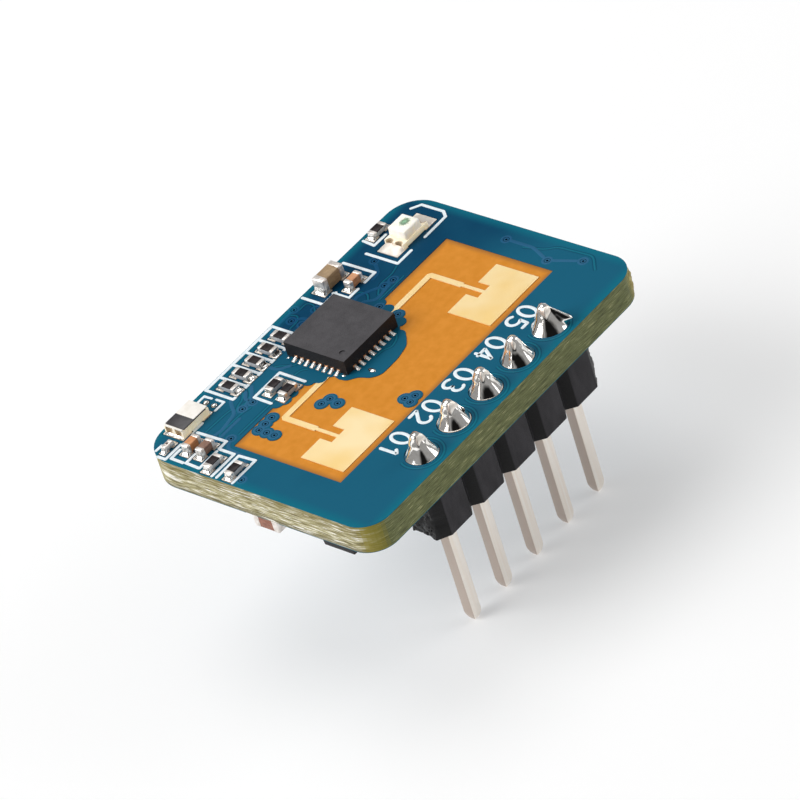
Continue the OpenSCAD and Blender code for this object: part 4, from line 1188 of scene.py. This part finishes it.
low, high = board_corners("led_base")
led_place = np.array([*((low + high) / 2)[:2], low[2]])
led_base_height = high[2] - low[2]
led_base = plate(castellated_outline(lamp_length, lamp_width, notch_radius), 0, led_base_height, 0.012)
show("led_board", [moved(led_base, led_place)], cream_finish, ["led_base"])

# Painted glow: the clear block gives off a little cream light of its own.
clear_finish, tree, shader = new_finish(
    "milky clear resin", Roughness=0.28, Subsurface_Weight=0.6, Subsurface_Scale=MM, Emission_Strength=0.12
)
shader.inputs["Emission Color"].default_value = tone(252, 240, 210)
shader.inputs["Subsurface Radius"].default_value = (0.8, 0.7, 0.5)
die_low, die_high = board_corners("led_die")
die_middle = (die_low + die_high) / 2
x, y, z = place_mm(tree)
beside_x = maths(tree, "MULTIPLY", maths(tree, "SUBTRACT", x, die_middle[0]), 0.8)
beside_y = maths(tree, "SUBTRACT", y, die_middle[1])
square_y = maths(tree, "MULTIPLY", beside_y, beside_y)
from_die = maths(tree, "SQRT", maths(tree, "MULTIPLY_ADD", beside_x, beside_x, square_y))
milk = mix(tree, mottle(tree, 0.5, 2.0), tone(244, 238, 224), tone(254, 252, 246))
glow = shades(
    tree,
    maths(tree, "MULTIPLY_ADD", mottle(tree, 0.1, 2.0), 0.1, from_die),
    (0.08, tone(120, 190, 155)),
    (0.15, tone(96, 150, 124)),
    (0.21, tone(72, 122, 100)),
    (0.27, tone(176, 196, 180)),
    (0.34, tone(255, 255, 255)),
)
tinted = add(tree, "ShaderNodeMix", {0: 1.0, 6: milk, 7: glow}, data_type="RGBA", blend_type="MULTIPLY")
feed(tree, shader.inputs["Base Color"], tinted.outputs[2])
relief(tree, shader, mottle(tree, 0.4, 2.0), 0.006)
dome_low, dome_high = board_corners("led_dome")
dome_size = dome_high - dome_low
dome_outline = rounded_rectangle(dome_size[0], dome_size[1] - 0.02, 0.12)
block = plate(dome_outline, led_base_height, led_base_height + dome_size[2], 0.05, draft=0.05)
show("led_block", [moved(block, led_place)], clear_finish, ["led_dome"])

# Painted glow: the die gives off a little green light of its own.
die_finish, tree, shader = new_finish("green die", Roughness=0.25, Emission_Strength=0.15)
die_green = mix(tree, mottle(tree, 0.12, 2.0), tone(34, 128, 86), tone(70, 170, 120))
feed(tree, shader.inputs["Base Color"], die_green)
feed(tree, shader.inputs["Emission Color"], die_green)
die_place = np.array([*die_middle[:2], die_low[2]])
die_size = die_high - die_low
die = plate(rounded_rectangle(die_size[0], die_size[1], 0.04), 0, die_size[2], 0.02)
show("led_chip", [moved(die, die_place)], die_finish, ["led_die"])

led_metal = [
    moved(strip, led_place)
    for strip in notch_linings(lamp_length, lamp_width, notch_radius, lining_wall, led_base_height)
]
notch_finish, tree, shader = new_finish("plated notch", Metallic=0.3, Roughness=0.45)
stain(tree, shader, 0.15, tone(206, 180, 142), tone(240, 226, 200))
show("led_linings", led_metal, notch_finish)
led_ramps = [
    moved(moved(solder_ramp(0.62, lamp_width, 0.16, 1.4), (lamp_length / 2, 0, 0)), led_place, half)
    for half in (0, 180)
]
show("led_solder", led_ramps, pad_finish, ["led_terminals"])

# The light sensor: a cream base with plated notches, a thin dark layer over it, and a white cover that
# leaves the dark window free near one end. Its base has the cream resin's painted glow.
sensor_low, sensor_high = board_corners("light_sensor_base")
sensor_place = np.array([*((sensor_low + sensor_high) / 2)[:2], sensor_low[2]])
sensor_height = sensor_high[2] - sensor_low[2]
window_low, window_high = board_corners("light_sensor_window")
window_shift = ((window_low + window_high) / 2 - sensor_place)[0]
window_length = window_high[0] - window_low[0]
cover_height = 0.035
layer_height = 0.05
layer_top = sensor_height - cover_height
base_outline = castellated_outline(lamp_length, lamp_width, notch_radius)
sensor_base = plate(base_outline, 0, layer_top - layer_height, 0.012)
show("sensor_base", [moved(sensor_base, sensor_place)], cream_finish, ["light_sensor_base"])

window_finish, tree, shader = new_finish("dark window", Roughness=0.3, Specular_IOR_Level=0.5)
stain(tree, shader, 0.5, tone(46, 44, 47), tone(66, 63, 66))
relief(tree, shader, mottle(tree, 0.1, 2.0), 0.002)
layer_outline = rounded_rectangle(lamp_length - 0.3, lamp_width - 0.01, 0.02)
dark_layer = plate(layer_outline, layer_top - layer_height, layer_top + 0.012, 0.008)
show(
    "sensor_window",
    [moved(dark_layer, sensor_place)],
    window_finish,
    ["light_sensor_window"],
)

cover_finish, tree, shader = new_finish("white cover", Roughness=0.5)
stain(tree, shader, 0.4, tone(240, 234, 224), tone(252, 248, 242))
relief(tree, shader, mottle(tree, 0.15, 3.0), 0.004)
cover_start = window_shift + window_length / 2
cover_length = lamp_length / 2 - cover_start
cover = plate(rounded_rectangle(cover_length, lamp_width - 0.04, 0.03), layer_top, sensor_height, 0.015)
cover_place = sensor_place + (cover_start + cover_length / 2, 0.01, 0)
strip_end = window_shift - window_length / 2
strip_length = strip_end + lamp_length / 2
strip_outline = rounded_rectangle(strip_length, lamp_width - 0.04, 0.03)
end_strip = plate(strip_outline, layer_top - layer_height, sensor_height, 0.015)
strip_place = sensor_place + (strip_end - strip_length / 2, 0, 0)
show(
    "sensor_cover",
    [moved(cover, cover_place), moved(end_strip, strip_place)],
    cover_finish,
)
sensor_metal = [
    moved(strip, sensor_place)
    for strip in notch_linings(lamp_length, lamp_width, notch_radius, lining_wall, sensor_height * 0.7)
]
show("sensor_linings", sensor_metal, notch_finish)
sensor_ramps = [
    moved(moved(solder_ramp(0.15, lamp_width, 0.07), (lamp_length / 2, 0, 0)), sensor_place, half)
    for half in (0, 180)
]
show("sensor_solder", sensor_ramps, solder_finish, ["light_sensor_terminals"])
